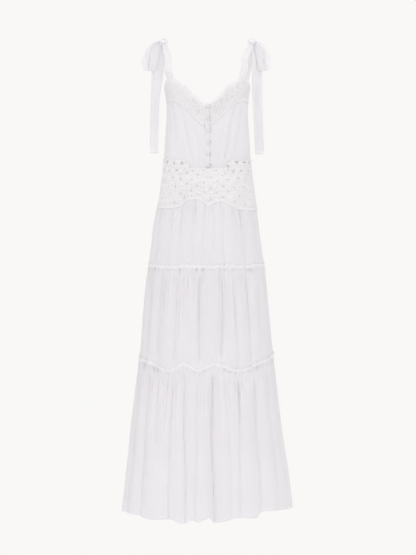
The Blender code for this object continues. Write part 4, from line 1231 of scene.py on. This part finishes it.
def ribbon(name, stops, kind):
    """A ribbon through stops of (centre, across, bow)."""

    def place(u, v):
        middle, across, bow = along_stops(stops, v)
        ahead, behind = (along_stops(stops, np.clip(v + by, 0, 1))[0] for by in (0.002, -0.002))
        square = np.cross(across, ahead - behind)
        square /= np.maximum(np.linalg.norm(square, axis=-1, keepdims=True), 1e-9)
        side = (u - 0.5)[..., None]
        gathered = np.maximum(
            *(smooth(1 - away / end) if end else 0.0 for away, end in zip((v, 1 - v), kind.ends))
        )
        moved = kind.pleat * gathered * np.cos(2 * math.pi * PLEATS * u + RIBBON_STRAY * v)
        waves = np.sin(2 * math.pi * (SOFT_WAVES[0] * u + SOFT_WAVES[1] * v)) * (1 - gathered)
        middle_u, swing, width, depth = LONG_CREASE
        crease = np.exp(-np.abs(u - middle_u - swing * np.sin(RIBBON_STRAY * v)) / width)
        moved = moved + kind.soft * (waves - depth * crease)
        moved = moved + SELVEDGE * bell((0.5 - np.abs(u - 0.5)) / SELVEDGE_WIDTH)
        return middle + across * side + bow * 4 * side**2 + square * moved[..., None]

    cloth(
        name, RIBBON_COLUMNS, kind.rows, place, RIBBON, RIBBON_COTTON, "cotton", kind.held,
        offset=0.0,
    )


def unit(side):
    return -1 if side == "right" else 1


def knot_stops(side, stops, reach=1.0, scale=1.0, facing=1, lies_ahead=False):
    """Stops given from a knot as points of the model. The ends stay at the knot, and between them
    reach scales out and scale both out and down. facing is -1 for what hangs at the back. The
    width turns from straight out, or from straight ahead where the ribbon lies across a loop."""
    made = []
    for index, stop in enumerate(stops):
        at_knot = index in (0, len(stops) - 1)
        out = stop.out * (1.0 if at_knot else reach * scale)
        down = stop.down * (1.0 if at_knot else scale)
        point = (KNOT_X[side] + unit(side) * out, -facing * stop.ahead, KNOT_HEIGHT - down)
        turn = math.radians(90 - stop.turn if lies_ahead else stop.turn)
        across = np.array([math.cos(turn) * unit(side), -facing * math.sin(turn), 0]) * stop.width
        made.append((point, across, (0, 0, 0)))
    return made


def strap_stops(side, angle, top_height, rests):
    """A strap's stops: behind the lace, past its edge, then up to the knot."""
    sign, front = unit(side), rests[-1].ahead > 0
    made = []
    for drop in (STRAP_IN_LACE, 0.0, -STRAP_IN_LACE):
        height = top_height - drop
        section = section_at(height)
        reach = math.degrees(rests[0].width / (section.half_width + section.half_depth))
        middle, one, other = (
            body_point(sign * (angle + turn), height, -STRAP_CLEAR) for turn in (0, reach, -reach)
        )
        across = one - other if front else other - one
        made.append((middle, across, (one + other) / 2 - middle))
    for index, rest in enumerate(rests, 1):
        turn = math.radians(rest.turn)
        across = np.array([math.cos(turn) * sign, math.sin(turn), 0]) * rest.width
        out = sign * rest.out
        if side == "left":
            at_lace = STRAP_SHIFT_AT_LACE if front else 0.0
            out += mix(at_lace, STRAP_SHIFT_AT_KNOT, index / len(rests))
        bow = (0, rest.bow if front else -rest.bow, 0)
        made.append(((out, -rest.ahead, rest.height), across, bow))
    return made


Strap = namedtuple("Strap", "face angles edge rests kind")
STRAPS = (
    Strap("front", {"right": 63.0, "left": 56.0}, cup_top, FRONT_STRAP, FRONT_RIBBON),
    Strap("back", {"right": 132.0, "left": 132.0}, back_top, BACK_STRAP, BACK_RIBBON),
)


def make_straps():
    for side in KNOT_X:
        for strap in STRAPS:
            angle = strap.angles[side]
            stops = strap_stops(side, angle, float(strap.edge(angle)), strap.rests)
            ribbon("strap_%s_%s" % (strap.face, side), stops, strap.kind)


def make_bows():
    for side in KNOT_X:
        knot(side)
        for face, scale, facing in (("front", 1.0, 1), ("back", BACK_LOOP_SCALE, -1)):
            loop = knot_stops(side, LOOP, LOOP_REACH[side], scale, facing, lies_ahead=True)
            ribbon("loop_%s_%s" % (face, side), loop, LOOP_RIBBON)
            tail = knot_stops(side, TAILS[side, face])
            ribbon("tail_%s_%s" % (face, side), tail, TAIL_RIBBON)


def knot(side):
    """The ribbon wrapped round the others: a band of soft creases, narrower at its sides."""
    turns, rises = ball_angles(*KNOT_GRID)
    aside = np.sin(rises) * np.cos(turns)
    band = smooth((KNOT_BAND - np.abs(aside)) / KNOT_FADE)
    creases = [np.cos(across * aside + up * np.cos(rises)) / 2 for across, up in KNOT_CREASES]
    size = 1 - KNOT_PINCH * (1 - band) + KNOT_CREASE * sum(creases) * band
    ball = np.stack([aside, -np.sin(rises) * np.sin(turns), -np.cos(rises)], axis=-1)
    points = ball * size[..., None] * np.array(KNOT_HALF) + [KNOT_X[side], 0, KNOT_HEIGHT]
    closed_piece("knot_%s_cloth" % side, points, RIBBON_COTTON, "knot_" + side)


# ---------- buttons and stitches


def make_buttons():
    turns, rises = ball_angles(*BUTTON_GRID)
    around, deep = np.sin(rises) * BUTTON_RADIUS, np.cos(rises) * BUTTON_HALF_THICKNESS
    ball = np.stack([around * np.cos(turns), deep, around * np.sin(turns)], axis=-1)[::-1]
    for number, height in enumerate(BUTTON_HEIGHTS, 1):
        angle = math.degrees(math.asin(BUTTON_X / float(section_at(height).half_width)))
        out = max(float(placket_out(height + side * BUTTON_RADIUS)) for side in (-1, 1))
        centre = body_point(angle, height, out + BUTTON_HALF_THICKNESS)
        name = "button_%d" % number
        closed_piece(name + "_pearl", ball + centre, PEARL, name)
        button_loop(number, centre)


def cord_piece(name, routes, radius):
    """Fine cords through lists of points, in one piece."""
    curve = bpy.data.curves.new(name, "CURVE")
    curve.dimensions = "3D"
    curve.bevel_depth, curve.bevel_resolution, curve.use_fill_caps = radius, 2, True
    curve.resolution_u = 5
    for route in routes:
        path = curve.splines.new("NURBS")
        path.points.add(len(route) - 1)
        for point, place in zip(path.points, route):
            point.co = (*place, 1)
        path.order_u, path.use_endpoint_u = 3, True
    add_trim(name, curve, TRIM_COTTON)


def button_loop(number, centre):
    """A corded loop from the placket's edge round the foot of a button."""
    half = BUTTON_RADIUS + 0.0004
    upper = [(-half * 0.5, half * 1.05), (LOOP_NECK, half * 0.9), LOOP_START]
    route = [(x, -z) for x, z in reversed(upper)] + [(-half * 1.15, 0.0)] + upper
    foot = centre[1] + BUTTON_HALF_THICKNESS - LOOP_CORD - 0.0002
    sine, cosine = math.sin(math.radians(LOOP_TILT)), math.cos(math.radians(LOOP_TILT))
    points = [
        (centre[0] + x * cosine - z * sine, foot, centre[2] + x * sine + z * cosine)
        for x, z in route
    ]
    cord_piece("button_loop_%d" % number, [points], LOOP_CORD)


def make_picots():
    """A row of tiny thread loops along the placket's edge on the wearer's left."""
    low, high = float(waist_top(0.0)) + PICOT_START, PLACKET_TOP - PICOT_END
    uneven, often = PICOT_UNEVEN
    routes = []
    for number in range(int((high - low) / PICOT_STEP)):
        reach = PICOT_REACH * (1 - uneven + uneven * math.sin(often * number))
        route = []
        for up, out in PICOT_ROUTE:
            height = low + (number + up) * PICOT_STEP
            half = float(section_at(height).half_depth)
            angle = PLACKET_HALF_ANGLE + math.degrees((out * reach - 0.0005) / half)
            lift = float(placket_out(height)) - PLACKET_OUT + PICOT_CORD
            route.append(tuple(body_point(angle, height, lift)))
        routes.append(route)
    cord_piece("placket_picots", routes, PICOT_CORD)


def stitches(name, lines):
    """Rows of stitches, each a small spindle half sunk in the cloth, joined in one piece. A line
    is (points, outward directions) close together along its row."""
    corners, faces = [], []
    for points, outwards in lines:
        along = distances(points)

        def at(place, values):
            return np.array([np.interp(place, along, values[:, k]) for k in range(3)])

        for number in range(int(along[-1] / (STITCH_LENGTH + STITCH_GAP))):
            middle = (number + 0.5) * (STITCH_LENGTH + STITCH_GAP)
            ends = [at(middle + side * STITCH_LENGTH / 2, points) for side in (-1, 1)]
            out = at(middle, outwards)
            across = np.cross(ends[1] - ends[0], out)
            across /= np.linalg.norm(across)
            centre = (ends[0] + ends[1]) / 2 + out * STITCH_RADIUS * STITCH_OUT
            first = len(corners)
            corners += ends + [
                centre + STITCH_RADIUS * side for side in (across, out, -across, -out)
            ]
            for k in range(4):
                near, far = first + 2 + k, first + 2 + (k + 1) % 4
                faces += [(first, far, near), (first + 1, near, far)]
    mesh = bpy.data.meshes.new(name)
    mesh.from_pydata([list(corner) for corner in corners], [], faces)
    mesh.shade_smooth()
    add_trim(name, mesh, THREAD)


def row_on_body(angles, heights, out):
    """A row of stitches on the form: its points and outward directions."""
    points = body_point(angles, heights, out)
    return points, body_point(angles, heights, out + 1.0) - points


def make_stitches():
    angles = np.linspace(-90, 270, 1441)
    rows = []
    for above in TOPSTITCH:
        height = edge_height(HEM, front_like(angles)) + above
        shift = tier_shift(LAST, angles, height) + hem_shift(angles, height)
        rows.append(row_on_body(angles, height, shift))
    stitches("hem_stitches", rows)

    low, high = float(waist_top(0.0)) + STITCH_START, PLACKET_TOP - STITCH_END
    heights = np.linspace(low, high, 400)
    half = float(section_at(-0.30).half_depth)
    angle = PLACKET_HALF_ANGLE - math.degrees(PLACKET_STITCH / half)
    stitches(
        "placket_stitches",
        [row_on_body(side * angle, heights, placket_out(heights)) for side in (-1, 1)],
    )


# ---------- stage


def make_stage():
    """A pale floor under a pale sky of the same brightness."""
    world = bpy.data.worlds.new("pale_studio")
    world.use_nodes = True
    sky = world.node_tree.nodes["Background"]
    feed(world.node_tree, sky, {"Color": (*BACKGROUND, 1), "Strength": 1.0})
    bpy.context.scene.world = world

    bpy.ops.mesh.primitive_plane_add(size=FLOOR_SIZE, location=(0, 0, FLOOR_HEIGHT))
    floor = bpy.context.object
    floor.name = "studio_floor"
    pale, tree, _, output = new_material("pale_floor")
    glow = add_node(tree, "Emission", {"Color": (*BACKGROUND, 1), "Strength": 1.0})
    feed(tree, output, {"Surface": glow.outputs["Emission"]})
    floor.data.materials.append(pale)


def make_lights():
    """Soft lights from the front left and the front, weaker ones from the sides and above."""
    for lamp in LAMPS:
        light = bpy.data.lights.new(lamp.name, "AREA")
        light.shape, light.size, light.energy = "DISK", lamp.size, lamp.watts
        made = add_object(lamp.name, light)
        made.location = lamp.place
        aim = Vector(lamp.aim) - Vector(lamp.place)
        made.rotation_euler = aim.to_track_quat("-Z", "Y").to_euler()


def make_camera():
    camera = bpy.data.cameras.new("camera")
    camera.sensor_fit, camera.sensor_height = "VERTICAL", SENSOR_HEIGHT
    camera.lens = SENSOR_HEIGHT * CAMERA_DISTANCE / (FRAME_PIXELS[1] * METRES_PER_PIXEL)
    made = add_object("camera", camera)
    made.location = (VIEW_CENTRE[0], -CAMERA_DISTANCE, VIEW_CENTRE[1])
    made.rotation_euler = (math.radians(90), 0, 0)
    bpy.context.scene.camera = made


bpy.context.scene.view_settings.view_transform = "Standard"
make_camera()
make_stage()
make_lights()
make_skirt()
make_headings()
make_bodice()
make_placket()
make_edgings()
make_lace()
make_straps()
make_bows()
make_buttons()
make_picots()
make_stitches()
